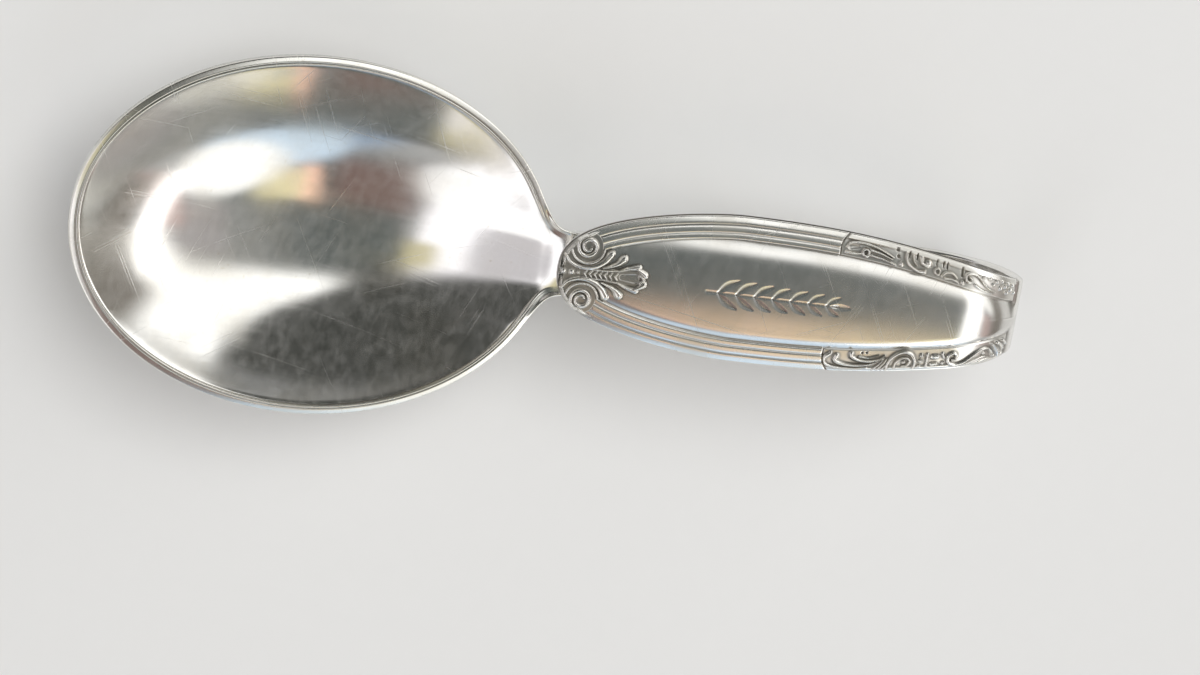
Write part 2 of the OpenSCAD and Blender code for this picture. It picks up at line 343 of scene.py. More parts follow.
@dataclass(frozen=True)
class Bowl:
    """Oval bowl with its neck, and the rim band round its edge."""

    sizes: SpoonSizes
    bowl_wall: float = 0.8
    fullness: float = 2.3
    rim_w: float = 0.85
    rim_t: float = 0.45
    edge_t: float = 0.5
    neck_w: float = 5.5
    neck_fillet: float = 1.5
    heel_at: float = 0.925
    heel_soft: float = 0.12
    open_flat: float = 1.2
    open_fall: float = 5.0
    crease_soft: float = 0.02
    seat_gap: float = 0.03
    edge_round: float = 0.12
    groove_at: float = 0.56
    groove_w: float = 0.05
    groove_d: float = 0.05
    groove_shade: float = 0.5
    rim_fall: float = 0.19
    fade_back: float = 1.4
    fade_len: float = 2.6
    neck_push: float = 0.95
    neck_rise: float = 0.44
    bead_sag: float = 0.06
    merge_w: float = 0.4
    fall_power: float = 1.2
    neck_sink: float = 0.16
    inner_shade: float = 0.2
    nose_angle: float = 3.0
    heel_angle: float = 163.0
    side_angle: float = 76.0
    corner_count: int = 6
    flat_count: int = 26

    def heel(self, x: Array) -> Array:
        """Share of the neck's shape at x: 0 at the middle of the bowl and 1 along the neck."""
        return ease(x / self.sizes.oval_a)

    def half_width(self, x: Array) -> Array:
        """Half width of the outline: the oval b·root(1 − x² / a²), its tangent, and a blend into the neck.

        Args:
            x: Places along the bowl.

        Returns:
            Half widths.
        """
        a, b = self.sizes.oval_a, self.sizes.oval_b
        heel_x, heel_w = self.heel_at * a, b * math.sqrt(1.0 - self.heel_at**2)
        oval = b * np.sqrt(np.maximum(0.0, 1.0 - (x / a) ** 2))
        tangent = heel_w - (x - heel_x) * heel_x / heel_w * (b / a) ** 2
        heel = self.heel(x)
        return soft_max(np.where(x < heel_x, oval, tangent), heel * self.neck_w / 2, heel * self.neck_fillet)

    def dish(self, x: Array, y: Array, inset: float, push: float = 0.0) -> Array:
        """Share of the full depth at a point of an oval dish.

        The share is 1 − ρ to the power of the fullness, where ρ is the distance from the middle as a share of
        the oval. It runs out softly at the edge, and more softly where the hollow opens into the neck.

        Args:
            x: Places along the bowl.
            y: Places across the bowl.
            inset: Distance of the dish's edge from the outline.
            push: Distance that the dish reaches into the neck.

        Returns:
            Shares of the depth.
        """
        a, b = self.sizes.oval_a - inset, self.sizes.oval_b - inset
        opening = self.heel(x) * (1.0 - ease((np.abs(y) - self.open_flat) / self.open_fall))
        rho = (x / (a + push * opening)) ** 2 + (y / b) ** 2
        soft = self.crease_soft + self.heel_soft * opening
        return soft_max(1.0 - rho ** (self.fullness / 2), 0.0, soft)

    def inside(self, x: Array, y: Array) -> Array:
        """Height of the upper face: the hollow, which runs on into the neck, and the neck's rise.

        Args:
            x: Places along the bowl.
            y: Places across the bowl.

        Returns:
            Heights, 0 at the top of the rim.
        """
        depth = self.sizes.rim_z - self.bowl_wall - self.rim_t
        rise = self.neck_rise * self.neck_share(x - self.neck_push)
        return rise - self.rim_t - depth * self.dish(x, y, self.rim_w, self.neck_push)

    def back(self, x: Array, y: Array) -> Array:
        """Height of the bowl's back."""
        depth = self.sizes.rim_z - self.rim_t - self.edge_t
        return -self.rim_t - self.edge_t - depth * self.dish(x, y, 0.0)

    def neck_share(self, x: Array) -> Array:
        """Share of the rim that has run out at x: 0 round the bowl and 1 along the neck."""
        return ease((x - self.sizes.oval_a + self.fade_back) / self.fade_len)

    def stations(self, count: int, neck_count: int) -> Array:
        """Places along the bowl: evenly spaced angles round the oval, then even steps along the neck.

        Args:
            count: Number of stations round the oval.
            neck_count: Number of stations along the neck.

        Returns:
            Places along the bowl.
        """
        angle = np.radians(np.linspace(self.nose_angle, self.heel_angle, count))
        oval = -self.sizes.oval_a * np.cos(angle)
        return np.concatenate([oval, np.linspace(oval[-1], self.sizes.neck_end, neck_count + 1)[1:]])

    def build_shell(self, shop: Workshop, across: int = 132) -> bpy.types.Object:
        """Builds the bowl: sections across it, with the hollow above and the back below.

        Args:
            shop: Maker of pieces.
            across: Number of points across each face.

        Returns:
            The bowl.
        """
        x = self.stations(count=230, neck_count=36)[:, None]
        lean = np.radians(np.linspace(self.side_angle, -self.side_angle, across))
        y = self.half_width(x) * (np.sin(lean) / np.sin(np.radians(self.side_angle)))
        x = np.broadcast_to(x, y.shape)
        top = np.stack([x, y, self.inside(x, y)], -1)
        under = np.stack([x, y, self.back(x, y)], -1)[:, ::-1]
        return shop.piece("bowl_shell", np.concatenate([top, under], 1))

    def rim_line(self) -> Array:
        """Outline of the bowl from one end of the neck round the nose to the other, in rows (x, y).

        Returns:
            Points of the outline.
        """
        x = self.stations(count=210, neck_count=40)
        side = np.stack([x, self.half_width(x)], -1)
        nose = np.array([[-self.sizes.oval_a, 0.0]])
        return np.concatenate([side[::-1] * [1, -1], nose, side])

    def build_rim(self, shop: Workshop) -> bpy.types.Object:
        """Builds the rim band: a sloped band, a groove and an inner bead, carried round the outline.

        Its top lies at a height −drop(d) − arch(d) − g(d), where d is the distance from the outer edge, drop
        rounds both edges, arch slopes the outer band and makes a low dome inside the groove, and g is the
        groove's bell curve. Slope, dome and groove fade out along the neck, where the top rolls down to the
        neck's face.

        Args:
            shop: Maker of pieces.

        Returns:
            The rim band.
        """
        line = self.rim_line()
        way = np.gradient(line, axis=0)
        inward = np.stack([way[:, 1], -way[:, 0]], -1) / np.linalg.norm(way, axis=1)[:, None]
        corner = self.edge_round * round_steps(self.corner_count)
        flat = np.linspace(self.edge_round, self.rim_w - self.edge_round, self.flat_count)[1:-1]
        d = np.concatenate([corner, flat, self.rim_w - corner[::-1]])
        drop = round_drop(np.minimum(d, self.rim_w - d), self.edge_round)
        fade = 1.0 - self.neck_share(line[:, :1])
        share = np.clip((d - self.groove_at) / (self.rim_w - self.groove_at), 0.0, 1.0)
        dome = np.where(d > self.groove_at, self.bead_sag * (2.0 * share - 1.0) ** 2, 0.0)
        arch = dome + self.rim_fall * np.maximum(0.0, 1.0 - d / self.groove_at) ** self.fall_power
        groove = bump(d, self.groove_at, self.groove_w)
        sunk = self.rim_t * self.neck_sink * (1.0 - fade)
        place = line[:, None] + inward[:, None] * d[:, None]
        face = self.inside(place[..., 0], place[..., 1])
        merge = (1.0 - fade) * ease((d - self.edge_round) / (self.merge_w - self.edge_round))
        top_z = mix(-drop - (arch + self.groove_d * groove) * fade - sunk, face + self.seat_gap / 3, merge)
        top = np.concatenate([place, top_z[..., None]], -1)
        seat_z = np.minimum(face + self.seat_gap, top_z - self.edge_round)
        seat = np.concatenate([place, seat_z[..., None]], -1)[:, ::-1]
        # Painted shade: darker along the groove and along the inner edge where the band meets the bowl's
        # face.
        dark = self.groove_shade * groove * fade
        inner = self.inner_shade * ease((d - self.rim_w + self.edge_round) / self.edge_round) * fade
        recess = np.concatenate([np.maximum(dark, inner), np.ones_like(top_z)], 1)
        return shop.piece("rim_band", np.concatenate([top, seat], 1), recess)

    def dress(self, shop: Workshop) -> None:
        """Builds the bowl and its rim band, and dresses both."""
        shop.dress(self.build_shell(shop), "bowl", "bowl_silver", BOWL_SILVER.build())
        shop.dress(self.build_rim(shop), "bowl_rim", "rim_silver", RIM_SILVER.build())


@dataclass(frozen=True)
class Strap:
    """Line and outline of the strap, from its tip round the loop to the drop on the bowl's back."""

    bowl: Bowl
    thickness: float = 1.15
    wide_at: float = 16.5
    tip_power: float = 1.5
    tip_root: float = 0.37
    taper_len: float = 34.0
    taper_power: float = 2.7
    taper_root: float = 2.3
    stem_w: float = 6.4
    crown: float = 0.75
    hollow: float = 0.6
    edge_r: float = 0.3
    tip_rise: float = 2.65
    tip_gap: float = 0.2
    rest_len: float = 12.0
    drop_len: float = 8.0
    drop_round: float = 4.4
    drop_t: float = 0.4
    solder_t: float = 0.14
    search_reach: float = 3.0
    search_count: int = 121

    @cached_property
    def bend_r(self) -> float:
        """Outer radius of the loop's bend."""
        return self.bowl.sizes.loop_h / 2

    @cached_property
    def bend(self) -> Array:
        """Centre (x, z) of the loop's bend."""
        sizes = self.bowl.sizes
        return np.array([sizes.overall_len - sizes.oval_a - self.bend_r, self.bend_r - sizes.rim_z])

    @cached_property
    def tip(self) -> Array:
        """Tip (x, z) of the strap's outer face."""
        return np.array([self.bowl.sizes.oval_a + self.tip_gap, self.tip_rise])

    @cached_property
    def run_slope(self) -> float:
        """Slope of the straight run from the tip, which touches the bend's circle."""
        way = self.bend - self.tip
        return math.atan2(way[1], way[0]) + math.asin(self.bend_r / np.linalg.norm(way))

    @cached_property
    def run_len(self) -> float:
        """Length of the straight run."""
        return math.sqrt(float(np.sum((self.bend - self.tip) ** 2)) - self.bend_r**2)

    @cached_property
    def bend_end(self) -> float:
        """Distance along the strap at which the bend meets the flat run."""
        return self.run_len + (math.pi + self.run_slope) * self.bend_r

    def face(self, s: Array) -> tuple[Array, Array]:
        """Gives the outer face's middle line: a straight run, then the arc of the bend.

        Args:
            s: Distances along the strap from its tip.

        Returns:
            Points (x, z), and outward normals (x, z).
        """
        turn = math.pi / 2 + self.run_slope - np.maximum(0.0, s - self.run_len) / self.bend_r
        normal = np.stack([np.cos(turn), np.sin(turn)], -1)
        start = self.bend + self.bend_r * normal
        back = np.minimum(0.0, s - self.run_len)[..., None]
        along = np.stack([np.sin(turn), -np.cos(turn)], -1)
        return start + along * back, normal

    def half_width(self, s: Array) -> Array:
        """Half width at s: w(1 − u^p)^q up to the widest place, then a like taper down to the stem.

        Args:
            s: Distances along the strap.

        Returns:
            Half widths.
        """
        widest = self.bowl.sizes.strap_w
        u = np.clip((self.wide_at - s) / self.wide_at, 0.0, 1.0)
        front = widest * (1.0 - u**self.tip_power) ** self.tip_root
        v = np.clip((s - self.wide_at) / self.taper_len, 0.0, 1.0)
        tail = mix(self.stem_w, widest, (1.0 - v**self.taper_power) ** self.taper_root)
        return np.where(s < self.wide_at, front, tail) / 2

    def crown_drop(self, s: Array, y: Array) -> Array:
        """Drop of the crowned face: a parabola across the strap that fades out round the bend."""
        share = 1.0 - ease((s - self.run_len) / (self.bend_r * math.pi / 2))
        return share * self.crown * (2.0 * y / self.bowl.sizes.strap_w) ** 2

    def on_face(self, s: Array, y: Array, h: Array) -> Array:
        """Points at (s, y) on the outer face, raised by h along its normal.

        Args:
            s: Distances along the strap.
            y: Distances from the middle line.
            h: Heights over the crowned face.

        Returns:
            Points in the bowl's frame.
        """
        point, normal = self.face(s)
        flat = point + normal * (h - self.crown_drop(s, y))[..., None]
        return np.stack([flat[..., 0], np.broadcast_to(y, flat.shape[:-1]), flat[..., 1]], -1)

    def edge_distance(self, s: Array, y: Array) -> Array:
        """Distance of places on the face from the outline.

        It is the least distance to the outline's points at a row of steps before and after s.

        Args:
            s: Distances along the strap.
            y: Distances from the middle line.

        Returns:
            Distances, exact up to about the search's reach.
        """
        least = np.full(np.broadcast(s, y).shape, np.inf)
        for step in np.linspace(-self.search_reach, self.search_reach, self.search_count):
            least = np.minimum(least, step**2 + (self.half_width(s + step) - np.abs(y)) ** 2)
        return np.sqrt(least)

    def stem_line(self, rise_count: int, lap_count: int) -> tuple[Array, Array, Array, Array]:
        """Gives the stem's lower face past the bend: the rise to the neck, then the lap on the bowl's back.

        The rise is a smooth step in height. The lap follows the back at the thickness of the solder, and
        narrows to a half oval and thins at its end.

        Args:
            rise_count: Number of stations on the rise.
            lap_count: Number of stations on the lap.

        Returns:
            Points (x, z), downward normals (x, z), widths and thicknesses.
        """
        sizes, bowl, step = self.bowl.sizes, self.bowl, 0.01
        rest_x = self.bend[0] - self.rest_len
        drop_x = sizes.oval_a - self.drop_len
        neck_under = float(bowl.back(sizes.neck_end, 0.0)) - self.solder_t - self.thickness

        def rise_z(x: Array) -> Array:
            """Height of the lower face over the rise."""
            return mix(-sizes.rim_z, neck_under, ease((rest_x - x) / (rest_x - sizes.neck_end)))

        def down(x: Array, height: Callable[[Array], Array]) -> Array:
            """Downward normals of a line of heights over x."""
            slope = (height(x + step) - height(x - step)) / (2 * step)
            return np.stack([slope, -np.ones_like(slope)], -1) / np.sqrt(1 + slope**2)[:, None]

        x1 = np.linspace(rest_x, sizes.neck_end, rise_count)
        w1 = mix(self.stem_w, bowl.neck_w, np.clip((rest_x - x1) / (rest_x - sizes.neck_end), 0.0, 1.0))
        p1 = np.stack([x1, rise_z(x1)], -1)
        share = np.sin(np.linspace(0.0, math.pi / 2, lap_count + 1)[1:])
        x2 = mix(sizes.neck_end, drop_x + step, share)
        t2 = mix(self.drop_t, self.thickness, ease((x2 - drop_x) / self.drop_len))
        n2 = down(x2, lambda x: bowl.back(x, np.zeros_like(x)))
        p2 = np.stack([x2, bowl.back(x2, np.zeros_like(x2)) - self.solder_t], -1) + n2 * t2[:, None]
        return (
            np.concatenate([p1, p2]),
            np.concatenate([down(x1, rise_z), n2]),
            np.concatenate([w1, self.lap_width(x2)]),
            np.concatenate([np.full_like(x1, self.thickness), t2]),
        )

    def lap_width(self, x: Array) -> Array:
        """Width of the lap: the neck's, narrowing to a half oval at the end of the drop.

        Args:
            x: Places along the bowl's heel.

        Returns:
            Widths.
        """
        end = self.bowl.sizes.oval_a - self.drop_len + self.drop_round
        past = np.maximum(0.0, (end - x) / self.drop_round)
        return self.bowl.neck_w * np.sqrt(np.maximum(0.0, 1.0 - past**2))


class Side(Enum):
    """Edge of the strap that a border follows."""

    LEFT = 1
    RIGHT = -1


@dataclass(frozen=True)
class Border:
    """Cross-section that the strap's panel and its borders share, in distances from the edge."""

    width: float = 2.2
    left_roll: Pair = (2.3, 0.46)
    right_roll: Pair = (0.8, 0.22)
    # Painted shade on the strap's face under the borders, fading out past them: dark_w is how far past the
    # border it reaches, dark_soft how softly it fades.
    dark_w: float = 0.12
    dark_soft: float = 0.3
    scroll_end: float = 44.0
    fade_len: float = 1.2
    swell_from: float = 5.0
    swell_len: float = 14.0
    swell_least: float = 0.35

    def swell(self, s: Array) -> Array:
        """Share of the left edge's roundness: least at the tip, and whole from the middle of the panel on."""
        return mix(self.swell_least, 1.0, ease((s - self.swell_from) / self.swell_len))

    def bed(self, s: Array, e: Array, side: Side) -> Array:
        """Depth of the strap's face below its crown: a bed along the edge that rolls up to the panel.

        The roll is a parabola with a width and a depth, steep at its foot and level where it meets the panel.

        Args:
            s: Distances along the strap.
            e: Distances from the strap's edge.
            side: The edge that they are measured from.

        Returns:
            Depths, 0 on the panel.
        """
        roll_w, depth = self.left_roll if side is Side.LEFT else self.right_roll
        share = self.swell(s) if side is Side.LEFT else 1.0
        u = np.clip((e - self.width) / roll_w, 0.0, 1.0)
        return depth * share * (1.0 - u) ** 2 * (1.0 - ease((s - self.scroll_end) / self.fade_len))


@dataclass(frozen=True)
class Sprig:
    """Small engraved branch on the panel: a thin stem with pairs of leaves, each one cut of a graver."""

    start: Pair = (13.6, -0.35)
    length: float = 13.4
    pairs: int = 7
    first_foot: float = 1.0
    leaf_len: float = 2.3
    leaf_w: float = 0.3
    leaf_ends: Pair = (0.05, 0.03)
    leaf_bend: float = 1.25
    least_leaf: float = 0.66
    end_leaf: float = 0.8
    lean: float = 34.0
    stem_w: float = 0.15
    stem_taper: float = 0.6
    stem_share: float = 0.7
    depth: float = 0.06

    def leaf(self, foot: float, lean: float, size: float) -> Stroke:
        """Gives one leaf: a cut that swells and runs out, and bends a little towards the branch's end.

        Args:
            foot: Distance of the leaf's foot from the branch's start.
            lean: Angle of the leaf from the branch, in degrees.
            size: Size of the leaf as a share of the full one.

        Returns:
            The leaf's stroke.
        """
        s, y = self.start[0] + foot, self.start[1]
        reach = self.leaf_len * size
        out = math.radians(lean)
        bent = out * self.leaf_bend
        half = (s + reach * 0.5 * math.cos(bent), y + reach * 0.5 * math.sin(bent))
        end = (s + reach * math.cos(out), y + reach * math.sin(out))
        return ridge([(s, y), half, end], *self.leaf_ends, self.depth * size, self.leaf_w * size)

    def strokes(self) -> list[Stroke]:
        """Gives all cuts: the stem, the pairs of leaves that grow smaller, and one leaf at the end.

        Returns:
            The cuts as strokes.
        """
        s, y = self.start
        end = (s + self.length - self.leaf_len / 2, y)
        end_w, depth = self.stem_w * self.stem_taper, self.depth * self.stem_share
        made = [ridge([self.start, end], self.stem_w, end_w, depth)]
        feet = np.linspace(self.first_foot, self.length - self.leaf_len, self.pairs)
        for foot, size in zip(feet, np.linspace(1.0, self.least_leaf, self.pairs)):
            made += [self.leaf(foot, sign * self.lean, size) for sign in (1, -1)]
        return made + [self.leaf(self.length - self.leaf_len * self.end_leaf, 0.0, self.end_leaf)]


@dataclass(frozen=True)
class Handle:
    """Strap handle: one loft from the tip over the loop and along the stem to the drop."""

    strap: Strap
    border: Border
    sprig: Sprig
    tip: "TipOrnament"
    corner_count: int = 7
    panel_count: int = 146
    under_count: int = 16
    tip_count: int = 66
    run_counts: tuple[int, ...] = (176, 34, 84)
    first_turn: float = 0.6
    sprig_room: float = 0.5
    narrow: float = 1.2
    cut_shade: float = 0.8
    cut_passes: int = 10
    shade_halo_soft: float = 0.7

    def stations(self) -> Array:
        """Distances along the strap's upper stretch, closest at the tip and where it is engraved.

        Returns:
            Distances along the strap.
        """
        s0 = self.sprig.start[0] - self.sprig_room
        s1 = self.sprig.start[0] + self.sprig.length + self.sprig_room
        turn = np.linspace(math.radians(self.first_turn), math.pi / 2, self.tip_count)
        stops = [s0, s1, self.strap.run_len, self.strap.bend_end]
        runs = [np.linspace(p, q, n)[1:] for p, q, n in zip(stops, stops[1:], self.run_counts)]
        return np.concatenate([s0 * (1.0 - np.cos(turn)), *runs])

    def corner_reach(self, half: Array) -> Array:
        """Reach of the round corners at each station: less where the strap is narrow."""
        return np.minimum(1.0, half / self.narrow)[:, None] * self.strap.edge_r

    def across(self, half: Array) -> Array:
        """Places across the face at each station, from one edge to the other, closest round the corners.

        Args:
            half: Half width at each station.

        Returns:
            One row of places for each station.
        """
        corner = half[:, None] - self.corner_reach(half) * round_steps(self.corner_count)
        inner = corner[:, -1:] * np.linspace(1.0, -1.0, self.panel_count)[1:-1]
        return np.concatenate([corner, inner, -corner[:, ::-1]], 1)

    def under(self, half: Array) -> Array:
        """Places across the under side, in the order that closes the section.

        Args:
            half: Half width at each station.

        Returns:
            One row of places for each station.
        """
        reach = np.minimum(self.strap.edge_r, half[:, None] / 2)
        corner = half[:, None] - reach * round_steps(self.corner_count)
        inner = corner[:, -1:] * np.linspace(-1.0, 1.0, self.under_count)[1:-1]
        return np.concatenate([-corner, inner, corner[:, ::-1]], 1)

    def stem_sections(self) -> Array:
        """Sections of the stem, with as many points as those of the upper stretch.

        Returns:
            Rows of points.
        """
        point, normal, width, thick = self.strap.stem_line(rise_count=70, lap_count=44)
        half = width / 2
        top_y, below_y = self.across(half), self.under(half)
        r = np.minimum(np.minimum(self.strap.edge_r, thick / 3), np.maximum(half / 2, 1e-3))[:, None]
        top_drop, lift = (round_drop(half[:, None] - np.abs(y), r) for y in (top_y, below_y))
        y = np.concatenate([top_y, below_y], 1)
        h = np.concatenate([-top_drop, lift - thick[:, None]], 1)
        flat = point[:, None] + normal[:, None] * h[..., None]
        return np.stack([flat[..., 0], y, flat[..., 1]], -1)

    def build(self, shop: Workshop) -> bpy.types.Object:
        """Builds the handle.

        Upper stretch: the face lies at −drop(e) − bed(e) − engraving below its crown, where e is the distance
        from the outline. The under side follows the crown a little, with the same round corners. The stem is
        the same section without ornament.

        Args:
            shop: Maker of pieces.

        Returns:
            The handle.
        """
        strap, border, s = self.strap, self.border, self.stations()
        half = strap.half_width(s)
        y = self.across(half)
        grid_s = np.broadcast_to(s[:, None], y.shape)
        e = strap.edge_distance(grid_s, y)
        left, right = (border.bed(grid_s, e, side) for side in Side)
        panel = Relief(grid_s, y, -np.where(y > 0, left, right))
        panel.cut(self.sprig.strokes())
        drop = round_drop(np.minimum(e, self.corner_reach(half)), strap.edge_r)
        top = strap.on_face(grid_s, y, panel.height - np.where(e < strap.edge_r, drop, 0.0))
        # Painted shade: the face darkens under the borders, round the palmette's strokes and in the engraved
        # cuts.
        groove = ease((border.width + border.dark_w - e) / border.dark_soft)
        groove = groove * (1.0 - ease(grid_s - border.scroll_end))
        foot = np.max([x.over(grid_s, np.abs(y)) / x.height for x in self.tip.shade_halo()], 0)
        cuts = self.cut_shade * panel.recess(self.cut_passes, self.sprig.depth)
        under_y = self.under(half)
        under_s = np.broadcast_to(s[:, None], under_y.shape)
        lift = round_drop(half[:, None] - np.abs(under_y), strap.edge_r)
        lift = lift + strap.crown_drop(under_s, under_y) * (1.0 - strap.hollow)
        below = strap.on_face(under_s, under_y, lift - strap.thickness)
        sections = np.concatenate([np.concatenate([top, below], 1), self.stem_sections()])
        shade = np.zeros(sections.shape[:2])
        shade[: len(s), : y.shape[1]] = np.maximum(cuts, np.maximum(groove, ease(foot / self.shade_halo_soft)))
        return shop.piece("strap_handle", sections, shade)

    def dress(self, shop: Workshop) -> None:
        """Builds the handle and dresses it."""
        shop.dress(self.build(shop), "handle", "handle_silver", HANDLE_SILVER.build())


@dataclass(frozen=True)
class HeelSolder:
    """Solder in the lap joint: a film between stem and bowl that ends in a hollow fillet at each side."""

    strap: Strap
    fillet: float = 0.6
    seat_gap: float = 0.03
    margin: float = 0.1
    sink: float = 0.06
    dark: float = 0.3

    def build(self, shop: Workshop, rows: int = 90, across: int = 41) -> bpy.types.Object:
        """Builds the solder: its upper face follows the bowl's back, and its fillet curves down to the stem.

        Args:
            shop: Maker of pieces.
            rows: Number of stations along it.
            across: Number of points across each face.

        Returns:
            The solder.
        """
        strap, bowl = self.strap, self.strap.bowl
        start = bowl.sizes.oval_a - strap.drop_len + strap.drop_round / 4
        x = np.linspace(start, bowl.sizes.neck_end - self.margin, rows)[:, None]
        flat = strap.lap_width(x) / 2
        reach = np.minimum(flat + self.fillet, bowl.half_width(x) - self.seat_gap)
        y = reach * np.linspace(1.0, -1.0, across)
        x = np.broadcast_to(x, y.shape)
        high = bowl.back(x, y) - self.seat_gap / 2
        out = np.clip((np.abs(y) - flat) / self.fillet, 0.0, 1.0)
        low = bowl.back(x, np.zeros_like(y)) - strap.solder_t - self.sink
        lower = np.minimum(high - self.seat_gap / 2, mix(low, high, 1.0 - (1.0 - out) ** 2))
        top = np.stack([x, y, high], -1)
        under = np.stack([x, y, lower], -1)[:, ::-1]
        shade = np.full((rows, 2 * across), self.dark)
        return shop.piece("solder_seam", np.concatenate([top, under], 1), shade)

    def dress(self, shop: Workshop) -> None:
        """Builds the solder and dresses it."""
        shop.dress(self.build(shop), "heel_solder", "silver_solder", SOLDER_SILVER.build())


@dataclass(frozen=True)
class EdgeStrip:
    """Strip of relief along one edge of the strap, laid out in (s, e)."""

    strap: Strap
    border: Border
    side: Side
    sink: float = 0.16
    left_shoulder: float = 0.15
    right_shoulder: float = 0.18
    edge_soft: float = 0.13
    shoulder_w: float = 1.4
    floor_h: float = -0.78
    outer_e: float = 0.03
    inner_over: float = 0.12
    inner_soft: float = 0.3
    inner_dip: float = 0.03

    @property
    def edge(self) -> str:
        """Name of the edge, as pieces and nodes spell it."""
        return self.side.name.lower()

    def grid(self, start: float, end: float, rows: int, columns: int) -> tuple[Array, Array]:
        """Grid of (s, e): stations from start to end, with points from the edge inwards."""
        e = np.linspace(self.outer_e, self.border.width + self.inner_over, columns)
        return np.meshgrid(np.linspace(start, end, rows), e, indexing="ij")

    def settle(self, s: Array, e: Array, height: Array) -> Array:
        """Brings a relief down to the strap along both edges of the strip.

        Args:
            s: Distances along the strap.
            e: Distances from the edge.
            height: Heights of the relief over the crown.

        Returns:
            Heights that roll over a shoulder to the strap's round corner and dip below its bed inside.
        """
        outer = ease(e / self.edge_soft)
        inner = ease((self.border.width + self.inner_over - e) / self.inner_soft)
        bed = -self.border.bed(s, e, self.side) - self.inner_dip
        fall = self.left_shoulder * self.border.swell(s) if self.side is Side.LEFT else self.right_shoulder
        shoulder = fall * np.maximum(0.0, 1.0 - e / self.shoulder_w) ** 2
        face = (height - self.sink) * outer - shoulder
        return mix(bed, face, np.minimum(1.0, inner)) - round_drop(e, self.edge_soft)

    def build(
        self, shop: Workshop, name: str, s: Array, e: Array, height: Array, recess: Array
    ) -> bpy.types.Object:
        """Builds the strip as a closed solid whose floor lies inside the strap.

        Args:
            shop: Maker of pieces.
            name: Name of the piece.
            s: Distances along the strap.
            e: Distances from the edge.
            height: Heights over the crown.
            recess: How far each point lies in a recess, which is how much painted shade darkens it.

        Returns:
            The strip.
        """
        half = self.strap.half_width(s)
        lean = np.sqrt(1.0 + np.gradient(half[:, 0], s[:, 0]) ** 2)[:, None]
        top = self.strap.on_face(s, self.side.value * (half - e * lean), height)
        ends = [-1, 0]
        floor_y = self.side.value * (half - np.maximum(e, self.strap.edge_r) * lean)[:, ends]
        floor = self.strap.on_face(s[:, ends], floor_y, np.full(floor_y.shape, self.floor_h))
        shade = np.concatenate([recess, np.ones(floor_y.shape)], 1)
        return shop.piece(name, np.concatenate([top, floor], 1), shade)


@dataclass(frozen=True)
class Threads:
    """Thread border: three parallel ridges that run from the tip's volutes to the scrolls.

    Each crest has its distance from the edge, its half width and its height. The outer one rolls over to the
    edge in a wider half.
    """

    strip: EdgeStrip
    start: float = 1.5
    start_sweep: float = 1.5
    start_e: float = 1.1
    start_soft: float = 0.5
    cut_at: float = 25.25
    cut_sweep: float = 0.75
    cut_e: float = 1.5
    cut_back: float = 0.05
    cut_soft: float = 0.16
    end_room: float = 0.2
    sunk_h: float = -0.25
    base_h: float = 0.05
    base_soft: float = 0.3
    crests: tuple[Triple, ...] = ((0.41, 0.40, 0.16), (1.165, 0.41, 0.16), (1.86, 0.35, 0.11))
    outer_w: float = 0.9
    flatness: float = 3.0
    grooves: Pair = (0.78, 1.55)
    groove_w: float = 0.07
    groove_shade: float = 0.5
    foot_w: float = 0.2
    foot_shade: float = 0.4

    def cut_line(self, e: Array) -> Array:
        """Distance along the strap at which the threads stop: a curve that sweeps back from the edge."""
        return self.cut_at + self.cut_sweep * (1.0 - np.minimum(e, self.cut_e) / self.cut_e) ** 2

    def ridges(self, e: Array) -> Array:
        """Height of the highest ridge: h·root(1 − |d / w|ᵖ) at a distance d from its crest.

        Args:
            e: Distances from the edge.

        Returns:
            Heights. Outside the first crest there is only the first ridge.
        """
        outside = e < self.crests[0][0]
        highest = np.zeros_like(e)
        for at, width, height in self.crests:
            d = (e - at) / np.where(outside, self.outer_w, width)
            dome = height * np.sqrt(np.maximum(0.0, 1.0 - np.abs(d) ** self.flatness))
            first = at == self.crests[0][0]
            highest = np.maximum(highest, dome if first else np.where(outside, 0.0, dome))
        return highest

    def build(self, shop: Workshop) -> bpy.types.Object:
        """Builds the threads: the highest of the ridges over a low base.

        Args:
            shop: Maker of pieces.

        Returns:
            The thread border.
        """
        border, end = self.strip.border, self.cut_at + self.cut_sweep + self.end_room
        s, e = self.strip.grid(self.start, end, rows=280, columns=84)
        profile = self.base_h * ease((border.width - e) / self.base_soft) + self.ridges(e)
        begin = self.start + self.start_sweep * ease(e / self.start_e)
        cut = ease((s - self.cut_line(e) + self.cut_back) / self.cut_soft)
        live = ease((s - begin) / self.start_soft) * (1.0 - cut)
        height = self.strip.settle(s, e, mix(self.sunk_h, profile, live))
        # Painted shade: darker in the grooves between the crests and at the foot by the panel.
        groove = np.sum([bump(e, at, self.groove_w) for at in self.grooves], 0)
        foot = ease((e - border.width + self.foot_w) / self.foot_w)
        dark = np.maximum(self.groove_shade * groove, self.foot_shade * foot) + (1.0 - live)
        return self.strip.build(shop, f"threads_{self.strip.edge}", s, e, height, np.clip(dark, 0.0, 1.0))

    def dress(self, shop: Workshop, finish: bpy.types.Material) -> None:
        """Builds the thread border and dresses it in the finish that all ornament shares."""
        shop.dress(self.build(shop), f"thread_border_{self.strip.edge}", "ornament_silver", finish)


